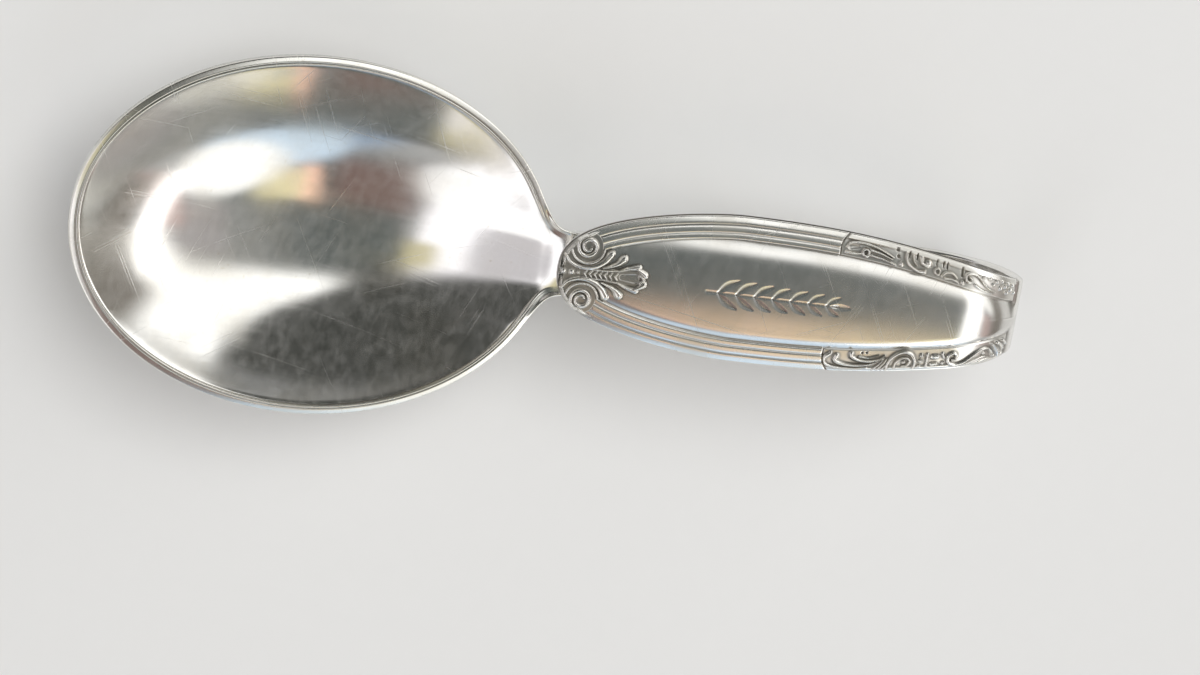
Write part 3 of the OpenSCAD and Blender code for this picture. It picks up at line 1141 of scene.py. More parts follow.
OUTER_LEAF = [
    (26.0, 1.74), (25.62, 1.45), (25.48, 1.05), (25.8, 0.66), (26.6, 0.42), (28.2, 0.3), (29.6, 0.4),
]
MIDDLE_LEAF = [
    (26.62, 1.5), (26.52, 1.14), (26.9, 0.86), (27.8, 0.66), (29.0, 0.62), (30.2, 0.85), (31.0, 1.3),
]
INNER_LEAF = [(27.95, 1.74), (28.08, 1.44), (28.7, 1.15), (29.7, 1.02), (30.6, 1.2), (31.1, 1.55)]
OUTER_SCROLL = [
    (31.45, 0.2), (31.5, 0.9), (31.95, 1.55), (32.75, 1.9), (33.5, 1.65), (33.95, 1.0), (33.95, 0.25),
]
INNER_SCROLL = [
    (32.15, 0.3), (32.2, 0.85), (32.6, 1.25), (33.15, 1.3), (33.5, 0.95), (33.3, 0.55), (32.9, 0.5),
]
LEAF_CURL = [
    (37.45, 0.88), (37.75, 0.98), (37.76, 1.34), (37.36, 1.54), (37.0, 1.22), (37.15, 0.68), (37.8, 0.37),
    (38.6, 0.52), (39.3, 1.0), (40.0, 1.44), (40.7, 1.58), (41.3, 1.36), (41.75, 0.95),
]
ROSE_LEAF = [(25.75, 1.3), (26.1, 0.85), (27.0, 0.68), (28.2, 0.72), (29.3, 0.98), (30.3, 1.35)]
ROSE_SCROLL = [(31.4, 0.55), (31.48, 1.1), (31.9, 1.6), (32.55, 1.88), (33.3, 1.78)]
ROSE_CURL = [
    (37.68, 1.06), (37.86, 1.22), (37.72, 1.43), (37.4, 1.38), (37.26, 1.04), (37.5, 0.72), (38.05, 0.6),
    (38.6, 0.76), (39.2, 1.2), (39.9, 1.54), (40.7, 1.64),
]
ROSE_LOBES = (
    (39.2, 0.62, 0.2), (39.9, 0.6, 0.24), (40.35, 1.05, 0.22), (40.8, 0.7, 0.26), (41.3, 1.2, 0.26),
    (41.5, 0.55, 0.24), (42.0, 0.95, 0.24), (42.3, 1.45, 0.22), (42.45, 0.62, 0.24), (42.9, 1.1, 0.26),
    (43.3, 0.65, 0.22), (43.6, 1.3, 0.22),
)


@dataclass(frozen=True)
class Scrolls:
    """Scroll border: leaves, C-scrolls, bars and lobes that follow each other round the bend."""

    strip: EdgeStrip
    threads: Threads
    start_back: float = 0.1
    cut_gap: float = 0.02
    cut_soft: float = 0.14
    end_room: float = 0.5
    end_soft: float = 0.4
    sunk_h: float = -0.2
    ground_h: float = 0.04
    roll_h: float = 0.13
    roll_at: float = 0.3
    roll_w: float = 0.2
    band_w: float = 0.5
    band_h: float = 0.16
    band_soft: float = 0.12
    right_shade: float = 0.7
    left_shade: float = 0.6
    ground_shade: float = 0.12
    low_over: float = 0.09
    low_soft: float = 0.06
    foot_shade: float = 0.6
    foot_w: float = 0.22
    edge_clear: float = 0.08
    dark_soft: float = 0.2

    def leaf_scrolls(self) -> tuple[list[Stroke], list[Stroke]]:
        """Strokes of the right border: raised ones, and sunk ones.

        Returns:
            Raised strokes, and sunk ones.
        """
        raised = [
            ridge(OUTER_LEAF, 0.25, 0.08, 0.34, 0.05),
            ridge(MIDDLE_LEAF, 0.32, 0.07, 0.38, 0.03),
            ridge(INNER_LEAF, 0.3, 0.07, 0.37),
            ridge([(28.7, 1.48), (29.6, 1.36), (30.6, 1.6)], 0.12, 0.06, 0.26),
            ridge(OUTER_SCROLL, 0.15, 0.16, 0.38, 0.08),
            ridge(INNER_SCROLL, 0.12, 0.14, 0.33, 0.03),
            bead((32.96, 0.9), 0.25, 0.36),
            bead((34.48, 1.48), 0.22, 0.33),
            bead((34.48, 0.95), 0.22, 0.33),
            bead((34.45, 0.45), 0.18, 0.3),
            ridge([(35.03, 1.55), (35.1, 0.4)], 0.16, 0.15, 0.34),
            ridge([(35.62, 1.3), (36.02, 1.3)], 0.3, 0.25, 0.35),
            ridge([(35.6, 0.58), (36.02, 0.6)], 0.24, 0.18, 0.31),
            ridge([(36.42, 1.55), (36.6, 1.2)], 0.17, 0.14, 0.31),
            bead((36.58, 0.66), 0.2, 0.3),
            ridge(LEAF_CURL, 0.13, 0.08, 0.39, 0.12),
            ridge([(38.9, 0.3), (39.7, 0.55), (40.4, 0.75), (41.0, 0.7)], 0.16, 0.1, 0.31, 0.05),
            ridge([(40.3, 0.3), (41.2, 0.45), (41.9, 0.35)], 0.14, 0.08, 0.27, 0.05),
            bead((40.7, 1.1), 0.2, 0.3),
            ridge([(41.6, 1.75), (42.1, 1.35), (42.6, 0.85), (42.8, 0.4)], 0.14, 0.14, 0.34, 0.07),
            ridge([(42.3, 1.78), (42.95, 1.45), (43.45, 1.0)], 0.21, 0.13, 0.35),
            ridge([(43.1, 1.85), (43.6, 1.6), (43.95, 1.25)], 0.16, 0.1, 0.31),
            bead((42.1, 0.62), 0.2, 0.3),
            bead((43.4, 0.52), 0.22, 0.29),
        ]
        for i in range(3):
            points = [(30.2 + 0.42 * i, 0.2), (30.75 + 0.36 * i, 0.75), (31.05 + 0.3 * i, 1.3)]
            raised.append(ridge(points, 0.14, 0.07, 0.3))
        sunk = [bead((28.97, 1.84), 0.13, 0.2), bead((29.38, 1.86), 0.13, 0.2)]
        return raised, sunk

    def rose_scrolls(self) -> tuple[list[Stroke], list[Stroke]]:
        """Strokes of the left border: raised ones, and sunk ones.

        Returns:
            Raised strokes, and sunk ones.
        """
        raised = [
            ridge(ROSE_LEAF, 0.1, 0.06, 0.34, 0.08),
            ridge([(25.75, 1.74), (26.6, 1.7), (27.2, 1.58)], 0.18, 0.1, 0.29),
            Stroke(spiral_line((27.62, 1.45), (0.3, 0.3), (0.0, 360.0)), 0.16, 0.16, 0.35),
            ridge([(28.05, 1.12), (29.0, 1.22), (30.15, 1.48)], 0.19, 0.08, 0.37),
            ridge([(28.1, 1.58), (29.2, 1.66), (30.5, 1.92)], 0.16, 0.09, 0.31),
            bead((31.05, 1.66), 0.28, 0.29),
            ridge(ROSE_SCROLL, 0.13, 0.2, 0.38, 0.04),
            ridge([(32.08, 0.6), (32.2, 1.12), (32.5, 1.42)], 0.13, 0.1, 0.31),
            ridge([(32.9, 0.66), (33.0, 1.12), (33.5, 1.2)], 0.25, 0.22, 0.33),
            bead((33.6, 0.95), 0.42, 0.34),
            Stroke(spiral_line((34.5, 1.42), (0.26, 0.26), (0.0, 360.0)), 0.13, 0.13, 0.31),
            ridge([(34.95, 1.72), (35.3, 1.28), (35.9, 1.2), (36.4, 1.45)], 0.14, 0.12, 0.31, 0.02),
            ridge([(35.3, 1.78), (35.9, 1.68), (36.6, 1.84)], 0.13, 0.12, 0.28),
            bead((37.0, 1.66), 0.26, 0.28),
            ridge(ROSE_CURL, 0.12, 0.07, 0.38, 0.1),
            ridge([(38.3, 1.55), (39.2, 1.8), (40.4, 1.88)], 0.14, 0.07, 0.25),
        ]
        raised += [bead((s, e), r, 0.31) for s, e, r in ROSE_LOBES]
        sunk = [bead((30.6, 0.5), 0.21, 0.26), bead((30.74, 1.1), 0.2, 0.24), bead((27.62, 1.45), 0.13, 0.16)]
        sunk += [ridge([(s, 0.45), (s, 0.95)], 0.1, 0.07, 0.24) for s in (31.78, 32.5, 34.42, 35.05, 35.42)]
        sunk += [ridge([(36.9, 0.45), (36.92, 1.15)], 0.16, 0.12, 0.24)]
        sunk += [ridge([(26.15, 1.2), (27.0, 1.08)], 0.3, 0.16, 0.09)]
        return raised, sunk

    def build(self, shop: Workshop) -> bpy.types.Object:
        """Builds the scrolls on a ground that rolls up to the strap's edge.

        Args:
            shop: Maker of pieces.

        Returns:
            The scroll border.
        """
        border, left = self.strip.border, self.strip.side is Side.LEFT
        start, end = self.threads.cut_at - self.start_back, border.scroll_end + self.end_room
        s, e = self.strip.grid(start, end, rows=440, columns=64)
        band = self.band_h * (1.0 - ease((e - self.band_w) / self.band_soft))
        roll = self.roll_h * bump(e, self.roll_at, self.roll_w)
        relief = Relief(s, e, self.ground_h + (band if left else roll))
        raised, sunk = self.rose_scrolls() if left else self.leaf_scrolls()
        relief.add(raised)
        relief.cut(sunk)
        begun = ease((s - self.threads.cut_line(e) - self.cut_gap) / self.cut_soft)
        live = begun * (1.0 - ease((s - border.scroll_end) / self.end_soft))
        height = self.strip.settle(s, e, mix(self.sunk_h, relief.height, live))
        # Painted shade: darker on low ground, in the relief's hollows and at the foot by the panel, kept
        # clear of the outer edge.
        low = self.ground_shade * ease((self.ground_h + self.low_over - relief.height) / self.low_soft)
        foot = self.foot_shade * ease((e - border.width + self.foot_w) / self.dark_soft)
        dark = np.maximum(relief.recess(passes=44, depth=0.11), np.maximum(low, foot))
        dark = np.maximum(dark * ease((e - self.edge_clear) / self.dark_soft), 1.0 - live)
        dark = (self.left_shade if left else self.right_shade) * np.clip(dark, 0.0, 1.0)
        return self.strip.build(shop, f"scrolls_{self.strip.edge}", s, e, height, dark)

    def dress(self, shop: Workshop, finish: bpy.types.Material) -> None:
        """Builds the scroll border and dresses it in the finish that all ornament shares."""
        shop.dress(self.build(shop), f"scroll_border_{self.strip.edge}", "ornament_silver", finish)


@dataclass(frozen=True)
class TipOrnament:
    """Ornament of the tip: two volutes with beads between them, and a palmette that points up the panel."""

    strap: Strap
    border: Border
    volute: Pair = (2.35, 2.42)
    volute_r: float = 1.02
    disc_r: float = 1.3
    body_end: float = 3.85
    step_len: float = 0.7
    palmette_end: float = 8.1
    border_lap: float = 0.1
    least_room: float = 0.05
    least_half: float = 0.01
    stem_half: float = 0.62
    stem_end: float = 7.3
    ground_h: float = 0.05
    ground_soft: float = 0.3
    sunk_h: float = -0.52
    floor_h: float = -0.68
    floor_share: float = 0.9
    outer_e: float = 0.03
    start_s: float = 0.02
    end_gap: float = 0.03
    row_power: float = 1.3
    rim_h: float = 0.22
    rim_at: float = 0.3
    rim_w: float = 0.14
    rim_sink: float = 0.25
    rim_len: float = 1.2
    low_over: float = 0.05
    low_soft: float = 0.06
    low_shade: float = 0.8
    dark: float = 0.68
    inner_soft: float = 0.2

    def half_width(self, s: Array) -> Array:
        """Half width: the strap's at the volutes, then an oval that ends at the palmette's point.

        Args:
            s: Distances along the strap.

        Returns:
            Half widths.
        """
        outer = self.strap.half_width(s) - self.outer_e
        room = np.maximum(self.least_room, outer - self.border.width + self.border_lap)
        along = np.clip((s - self.body_end) / (self.palmette_end - self.body_end), 0.0, 1.0)
        palm = room * np.sqrt(1.0 - along**4)
        return mix(outer, np.maximum(palm, self.least_half), ease((s - self.body_end) / self.step_len))

    def volutes(self) -> list[Stroke]:
        """Raised strokes over (s, distance from the middle line): volute, band, C-scroll and beads.

        Returns:
            Raised strokes.
        """
        centre = self.volute
        scroll = [(0.42, 1.5), (0.95, 0.86), (1.75, 0.56), (2.6, 0.54), (3.4, 0.8), (4.0, 1.24), (4.5, 1.92)]
        return [
            Stroke(spiral_line(centre, (self.volute_r, 0.32), (110.0, 690.0)), 0.26, 0.19, 0.37, 0.04),
            Stroke(spiral_line(centre, (1.5, 1.5), (196.0, 352.0)), 0.2, 0.15, 0.33, 0.03),
            ridge(scroll, 0.21, 0.4, 0.37),
            bead((0.42, 0.0), 0.33, 0.34),
            bead((1.15, 0.0), 0.36, 0.37),
            bead((1.74, 0.0), 0.22, 0.31),
        ]

    def palmette(self) -> list[Stroke]:
        """Raised strokes of the palmette: a side leaf with a round end, and the lobes round its end.

        Returns:
            Raised strokes.
        """
        return [
            ridge([(3.9, 0.66), (4.8, 0.98), (5.3, 1.26), (5.68, 1.66)], 0.12, 0.42, 0.42),
            ridge([(2.7, 0.42), (4.2, 0.42), (5.4, 0.56)], 0.12, 0.13, 0.3),
            ridge([(5.4, 0.56), (6.1, 0.84), (6.7, 0.98), (7.1, 1.02)], 0.13, 0.36, 0.4),
            ridge([(6.95, 0.95), (7.4, 0.7), (7.78, 0.42)], 0.2, 0.36, 0.42),
            ridge([(7.4, 0.34), (7.75, 0.0)], 0.18, 0.16, 0.33),
        ]

    def shade_halo(self, spread: float = 0.16) -> list[Stroke]:
        """The palmette's strokes, a little wider: where painted shade darkens the panel round them."""
        return [replace(x, start_w=x.start_w + spread, end_w=x.end_w + spread) for x in self.palmette()]

    def chevrons(self) -> list[Stroke]:
        """Raised strokes of the stem between the volutes: a row of chevrons."""
        return [ridge([(2.3 + 0.46 * i, 0.0), (2.52 + 0.46 * i, 0.3)], 0.16, 0.12, 0.28) for i in range(7)]

    def ground(self, s: Array, y: Array) -> Array:
        """Height of the ground: it shows round the volutes and along the stem, and is sunk elsewhere.

        Args:
            s: Distances along the strap.
            y: Distances from the middle line.

        Returns:
            Heights over the strap's crown.
        """
        s0, y0 = self.volute
        disc = np.hypot(s - s0, np.abs(y) - y0) - self.disc_r
        stem = np.maximum(np.abs(y) - self.stem_half, s - self.stem_end)
        front = np.maximum(s - s0, -np.abs(y))
        out = np.minimum(np.minimum(disc, stem), front)
        return mix(self.ground_h, self.sunk_h, ease(out / self.ground_soft))

    def build(self, shop: Workshop, rows: int = 260, columns: int = 250) -> bpy.types.Object:
        """Builds the ornament as a closed solid whose floor lies inside the strap.

        Args:
            shop: Maker of pieces.
            rows: Number of stations along it.
            columns: Number of points across it.

        Returns:
            The tip ornament.
        """
        share = np.linspace(0.0, 1.0, rows)
        s = (self.start_s + (self.palmette_end - self.end_gap) * share**self.row_power)[:, None]
        half = self.half_width(s)
        y = half * np.linspace(1.0, -1.0, columns)
        s = np.broadcast_to(s, y.shape)
        e = self.strap.edge_distance(s, y)
        rim = self.rim_h * bump(e, self.rim_at, self.rim_w)
        rim = rim - self.rim_sink * ease((s - self.volute[0]) / self.rim_len)
        relief = Relief(s, np.abs(y), np.maximum(self.ground(s, y), rim))
        relief.add(self.volutes() + self.palmette() + self.chevrons())
        relief.cut([ridge([(5.75, 0.0), (6.9, 0.0)], 0.3, 0.45, 0.12)])
        # Painted shade: darker on the low ground and in the relief's hollows.
        low = self.low_shade * ease((self.ground_h + self.low_over - relief.height) / self.low_soft)
        dark = np.maximum(relief.recess(passes=36, depth=0.14), low) * self.dark
        inner = np.where(s > self.body_end, ease((half - np.abs(y)) / self.inner_soft), 1.0)
        height = mix(self.sunk_h, relief.height * ease(e / self.strap.edge_r), inner)
        top = self.strap.on_face(s, y, height - round_drop(e, self.strap.edge_r))
        ends = [-1, columns // 2, 0]
        floor_y = y[:, ends] * self.floor_share
        floor = self.strap.on_face(s[:, ends], floor_y, np.full(floor_y.shape, self.floor_h))
        shade = np.concatenate([np.clip(dark, 0.0, 1.0), np.ones(floor_y.shape)], 1)
        return shop.piece("tip_scrolls", np.concatenate([top, floor], 1), shade)

    def dress(self, shop: Workshop, finish: bpy.types.Material) -> None:
        """Builds the tip ornament and dresses it in the finish that all ornament shares."""
        shop.dress(self.build(shop), "tip_ornament", "ornament_silver", finish)


class Field:
    """Shader value that takes part in Python expressions: each operation adds one Math node."""

    def __init__(self, tree: "Nodes", socket: bpy.types.NodeSocket) -> None:
        """Wraps an output socket of a node tree."""
        self.tree = tree
        self.socket = socket

    def math(self, operation: str, first: "Field | float", second: "Field | float" = 0.0) -> "Field":
        """Adds a Math node and returns its value."""
        return self.tree.node("ShaderNodeMath", {"operation": operation}, {0: first, 1: second})

    def __add__(self, other: "Field | float") -> "Field":
        """Sum."""
        return self.math("ADD", self, other)

    def __radd__(self, other: float) -> "Field":
        """Sum with a number on the left."""
        return self.math("ADD", other, self)

    def __sub__(self, other: "Field | float") -> "Field":
        """Difference."""
        return self.math("SUBTRACT", self, other)

    def __rsub__(self, other: float) -> "Field":
        """Difference with a number on the left."""
        return self.math("SUBTRACT", other, self)

    def __mul__(self, other: "Field | float") -> "Field":
        """Product."""
        return self.math("MULTIPLY", self, other)

    def __rmul__(self, other: float) -> "Field":
        """Product with a number on the left."""
        return self.math("MULTIPLY", other, self)

    def __abs__(self) -> "Field":
        """Absolute value."""
        return self.math("ABSOLUTE", self)

    def larger(self, other: "Field | float") -> "Field":
        """Larger of two values."""
        return self.math("MAXIMUM", self, other)

    def ramp(self, low: float, high: float) -> "Field":
        """Smooth step from 0 at low to 1 at high, or the other way round if high is less."""
        limits = {"Value": self, "From Min": low, "From Max": high}
        return self.tree.node("ShaderNodeMapRange", {"interpolation_type": "SMOOTHSTEP"}, limits)


class Nodes:
    """Node tree of a material or of the world, built by expressions."""

    def __init__(self, owner: bpy.types.Material | bpy.types.World) -> None:
        """Empties the owner's node tree.

        Args:
            owner: Material or world that the tree belongs to.
        """
        owner.use_nodes = True
        self.tree = owner.node_tree
        self.tree.nodes.clear()

    def node(self, kind: str, settings: dict, inputs: dict, output: int | str = 0) -> Field:
        """Adds a node.

        Args:
            kind: Type of the node.
            settings: Properties of the node, set before its sockets.
            inputs: Values or links of its sockets, by name, identifier or number.
            output: Name or number of the output that is returned.

        Returns:
            The output's value.
        """
        made = self.tree.nodes.new(kind)
        for key, value in settings.items():
            setattr(made, key, value)
        for key, value in inputs.items():
            named = [x for x in made.inputs if x.identifier == key] or [made.inputs[key]]
            if isinstance(value, Field):
                self.tree.links.new(value.socket, named[0])
            else:
                named[0].default_value = value
        outputs = [x for x in made.outputs if x.identifier == output]
        return Field(self, outputs[0] if outputs else made.outputs[output] if made.outputs else None)

    def blend(self, share: Field | float, first: Field | Colour, second: Field | Colour) -> Field:
        """Mixes two colours.

        Args:
            share: Share of the second colour.
            first: First colour.
            second: Second colour.

        Returns:
            The mixed colour.
        """
        ends = [x if isinstance(x, Field) else (*x, 1.0) for x in (first, second)]
        inputs = {"Factor_Float": share, "A_Color": ends[0], "B_Color": ends[1]}
        return self.node("ShaderNodeMix", {"data_type": "RGBA"}, inputs, "Result_Color")

    def place(self, scale: Triple, turn: float = 0.0) -> Field:
        """Object coordinates in millimetres, turned about z in degrees and then scaled along each axis.

        Args:
            scale: Factor along each axis.
            turn: Angle about z, in degrees.

        Returns:
            Place in the pattern.
        """
        point = self.node("ShaderNodeTexCoord", {}, {}, "Object")
        spin = {"Vector": point, "Angle": math.radians(turn)}
        turned = self.node("ShaderNodeVectorRotate", {"rotation_type": "Z_AXIS"}, spin)
        size = tuple(k / MM for k in scale)
        return self.node("ShaderNodeVectorMath", {"operation": "MULTIPLY"}, {0: turned, 1: size})

    def noise(self, place: Field, scale: float, detail: float = 3.0, distortion: float = 0.0) -> Field:
        """Noise from 0 to 1 at a place."""
        inputs = {"Vector": place, "Scale": scale, "Detail": detail, "Distortion": distortion}
        return self.node("ShaderNodeTexNoise", {}, inputs, "Fac")


PLAIN = (1.0, 1.0, 1.0)
SCRATCH_RUNS = ((12.0, 7.0), (63.0, 8.0), (118.0, 6.5), (158.0, 7.5))
SCRATCH_LONG, SCRATCH_DEEP, SCRATCH_RAMP = 0.03, 0.05, (0.69, 0.76)
GAP_SCALE, GAP_RAMP = (0.2, 0.5, 0.2), (0.40, 0.68)
STREAK_SCALE, STREAK_TURN, STREAK_RAMP = (1.5, 0.75, 0.9), 15.0, (0.18, 0.92)
BLOTCH_SCALE, BLOTCH_RAMP, BLOTCH_SHARE = 0.45, (0.35, 0.70), 0.4
CLOUD_TWIST, CLOUD_RAMP = 0.2, (0.36, 0.74)
TIDE_AT, TIDE_W, TIDE_TINT, TIDE_ROUGH = 0.57, 0.03, 0.03, 0.008
SPECK_SCALE, SPECK_RAMP, SPECK_TINT = 3.6, (0.70, 0.78), 0.45
GRAIN_SCALE, GRAIN_TURN, GRAIN_MM = (0.06, 2.4, 0.06), 4.0, 0.012
WOBBLE_SCALE, WOBBLE_MM = 0.16, 0.08
FINE_SCALE, FINE_MM = 2.6, 0.0003
SCRATCH_MM, SCRATCH_ROUGH, RECESS_ROUGH = 0.0016, 0.16, 0.2


@dataclass(frozen=True)
class SilverFinish:
    """Worn silver: polished metal with scratches, cloudy tarnish, a thin dull haze, and painted shade in its
    recesses.
    """

    name: str
    tone: Colour = (0.90, 0.89, 0.86)
    tarnish: Colour = (0.70, 0.64, 0.52)
    # Colour of the painted shade in recesses.
    recess_shade_tone: Colour = (0.15, 0.138, 0.118)
    roughness: float = 0.10
    cloud_roughness: float = 0.09
    cloud_size: float = 7.0
    tarnish_share: float = 0.3
    scratch: float = 0.5
    brush: float = 0.0
    wobble: float = 0.2
    haze: float = 0.05

    def scratches(self, nodes: Nodes) -> Field:
        """Fine straight scratches at several angles: thin crests of stretched noise, broken up.

        Args:
            nodes: Node tree of the finish.

        Returns:
            Values from 0 to 1, which is the middle of a scratch.
        """
        total = None
        for turn, fine in SCRATCH_RUNS:
            line = nodes.noise(nodes.place((SCRATCH_LONG, fine, SCRATCH_DEEP), turn), 1.0, 1.0)
            gaps = nodes.noise(nodes.place(GAP_SCALE, turn), 1.0, 1.0)
            line = line.ramp(*SCRATCH_RAMP) * gaps.ramp(*GAP_RAMP)
            total = line if total is None else total.larger(line)
        return total

    def shine(self, nodes: Nodes) -> Field:
        """Share of bare metal: whole, less a haze of slanting streaks that is thicker in blotches.

        Args:
            nodes: Node tree of the finish.

        Returns:
            Values from 1, bare metal, down to the thickest haze.
        """
        streak = nodes.noise(nodes.place(STREAK_SCALE, STREAK_TURN), 1.0, 6.0).ramp(*STREAK_RAMP)
        blotch = nodes.noise(nodes.place(PLAIN), BLOTCH_SCALE, 3.0).ramp(*BLOTCH_RAMP)
        return 1.0 - streak * (blotch * BLOTCH_SHARE + (1.0 - BLOTCH_SHARE)) * self.haze

    def build(self) -> bpy.types.Material:
        """Builds the material.

        Returns:
            The material, which reads object coordinates and the mesh's recess values.
        """
        material = bpy.data.materials.new(self.name)
        nodes = Nodes(material)
        recess = nodes.node("ShaderNodeAttribute", {"attribute_name": "recess"}, {}, "Fac")
        here = nodes.place(PLAIN)
        cloud = nodes.noise(here, 1.0 / self.cloud_size, 3.0, CLOUD_TWIST)
        film = cloud.ramp(*CLOUD_RAMP)
        tide = abs(cloud - TIDE_AT).ramp(TIDE_W, 0.0)
        speck = nodes.noise(here, SPECK_SCALE, 1.0).ramp(*SPECK_RAMP)
        grain = nodes.noise(nodes.place(GRAIN_SCALE, GRAIN_TURN), 1.0, 4.0)
        scratch = self.scratches(nodes)
        stain = film * self.tarnish_share + tide * TIDE_TINT + speck * SPECK_TINT
        # Painted shade: the colour darkens towards the dark recess tone by the mesh's recess values.
        colour = nodes.blend(recess, nodes.blend(stain, self.tone, self.tarnish), self.recess_shade_tone)
        rough = self.roughness + film * self.cloud_roughness + tide * TIDE_ROUGH
        rough = rough + scratch * SCRATCH_ROUGH + recess * RECESS_ROUGH + grain * self.brush
        sway = nodes.noise(here, WOBBLE_SCALE, 2.0)
        fine = nodes.noise(here, FINE_SCALE, 3.0)
        height = sway * (self.wobble * WOBBLE_MM) + fine * FINE_MM
        height = height + grain * (self.brush * GRAIN_MM) - scratch * (self.scratch * SCRATCH_MM)
        normal = nodes.node("ShaderNodeBump", {}, {"Distance": MM, "Strength": 1.0, "Height": height})
        metal = {"Base Color": colour, "Metallic": self.shine(nodes), "Roughness": rough, "Normal": normal}
        shader = nodes.node("ShaderNodeBsdfPrincipled", {}, metal)
        nodes.node("ShaderNodeOutputMaterial", {}, {"Surface": shader})
        return material


BOWL_SILVER = SilverFinish("bowl_silver", brush=0.08, haze=0.15)
RIM_SILVER = SilverFinish("rim_silver", tone=(0.90, 0.89, 0.84), roughness=0.2, scratch=0.3)
HANDLE_SILVER = SilverFinish(
    "handle_silver",
    roughness=0.14,
    cloud_roughness=0.035,
    tarnish_share=0.2,
    scratch=0.4,
    brush=0.06,
    haze=0.1,
)
SOLDER_SILVER = SilverFinish("silver_solder", tone=(0.74, 0.72, 0.66), roughness=0.34, tarnish_share=0.6)
ORNAMENT_SILVER = SilverFinish(
    "ornament_silver", tone=(0.89, 0.88, 0.84), roughness=0.23, scratch=0.2, wobble=0.0
)


@dataclass(frozen=True)
class SoftBox:
    """Soft lamp that faces the spoon: it lights the floor, or is mirrored and shows only in the silver."""

    name: str
    aim_mm: Triple
    direction: Triple
    distance: float
    width: float
    height: float
    power: float
    mirrored: bool = False

    def build(self) -> None:
        """Puts the lamp at its distance from its aim, turned towards it."""
        light = bpy.data.lights.new(self.name, "AREA")
        light.shape = "RECTANGLE"
        light.size, light.size_y = self.width, self.height
        light.energy = self.power
        lamp = bpy.data.objects.new(self.name, light)
        lamp.visible_camera = False
        lamp.visible_glossy = self.mirrored
        lamp.visible_diffuse = not self.mirrored
        way = Vector(self.direction).normalized()
        turn = (-way).to_track_quat("-Z", "Y").to_matrix().to_4x4()
        lamp.matrix_world = Matrix.Translation(Vector(self.aim_mm) * MM + way * self.distance) @ turn
        bpy.context.scene.collection.objects.link(lamp)
        LOG.info("lamp %s", self.name)


@dataclass(frozen=True)
class Glow:
    """Soft patch of the surroundings: its tone and its limits.

    Each limit is an aim, with the cosines of the angle from it at the edge and where the tone is full.
    """

    tone: Colour
    limits: tuple[tuple[Triple, float, float], ...]


LAMPS = (
    SoftBox(
        "lamp_floor",
        aim_mm=(0.0, 0.0, 0.0),
        direction=(0.15, 0.35, 0.92),
        distance=1.0,
        width=0.9,
        height=0.9,
        power=5.8,
    ),
    SoftBox(
        "lamp_loop",
        aim_mm=(37.4, 0.0, 15.9),
        direction=(0.62, -0.16, 0.77),
        distance=0.04,
        width=0.1,
        height=0.02,
        power=0.0092,
        mirrored=True,
    ),
)
EAST, NORTH, UP = (1.0, 0.0, 0.0), (0.0, 1.0, 0.0), (0.0, 0.0, 1.0)
SHADE = (-0.482, 0.876, 0.0)
GLOWS = (
    Glow((0.055, 0.057, 0.052), ((SHADE, 0.24, 0.50), (UP, 0.0, 0.16))),
    Glow((0.27, 0.275, 0.265), ((EAST, 0.06, 0.42), (NORTH, -0.36, -0.22), (NORTH, 0.50, 0.28))),
    Glow((0.38, 0.36, 0.36), ((EAST, 0.50, 0.62), (NORTH, -0.32, -0.22), (NORTH, 0.36, 0.22))),
    Glow(
        (0.20, 0.135, 0.12),
        ((NORTH, -0.30, -0.44), (NORTH, -0.90, -0.74), (EAST, -0.48, -0.36), (EAST, 0.10, -0.04)),
    ),
    Glow(
        (1.4, 0.86, 0.65),
        ((NORTH, -0.28, -0.36), (NORTH, -0.78, -0.62), (EAST, 0.08, 0.14), (EAST, 0.20, 0.17)),
    ),
    Glow(
        (0.88, 0.80, 0.48),
        ((NORTH, -0.28, -0.36), (NORTH, -0.70, -0.58), (EAST, 0.16, 0.19), (EAST, 0.48, 0.32)),
    ),
    Glow((1.5, 1.5, 1.48), (((0.90, 0.44, 0.0), 0.78, 0.90),)),
    Glow((1.5, 1.5, 1.48), ((NORTH, 0.28, 0.50), (SHADE, 0.54, 0.46), (EAST, -0.30, 0.10))),
    Glow((1.35, 1.33, 1.38), ((EAST, -0.42, -0.51), (NORTH, 0.42, 0.24))),
    Glow((0.62, 0.60, 0.63), ((EAST, -0.67, -0.75), (NORTH, 0.42, 0.24))),
    Glow(
        (0.66, 0.60, 0.37),
        ((EAST, -0.38, -0.46), (EAST, -0.64, -0.54), (NORTH, -0.14, -0.04), (NORTH, 0.36, 0.20)),
    ),
    Glow((1.3, 1.3, 1.32), (((-0.60, -0.68, 0.42), 0.95, 0.985),)),
    Glow((0.32, 0.41, 0.54), (((0.20, -0.97, 0.12), 0.88, 0.95),)),
    Glow((0.72, 0.88, 1.05), (((0.34, -0.84, 0.42), 0.92, 0.965),)),
    Glow((1.3, 1.3, 1.28), (((0.56, -0.60, 0.57), 0.93, 0.97),)),
    Glow(
        (0.55, 0.40, 0.37),
        ((EAST, 0.76, 0.82), (EAST, 0.93, 0.88), (NORTH, 0.02, -0.06), (NORTH, -0.55, -0.45)),
    ),
    Glow((0.20, 0.18, 0.155), ((EAST, 0.76, 0.88), (UP, 0.36, 0.24), (NORTH, -0.52, -0.40))),
)


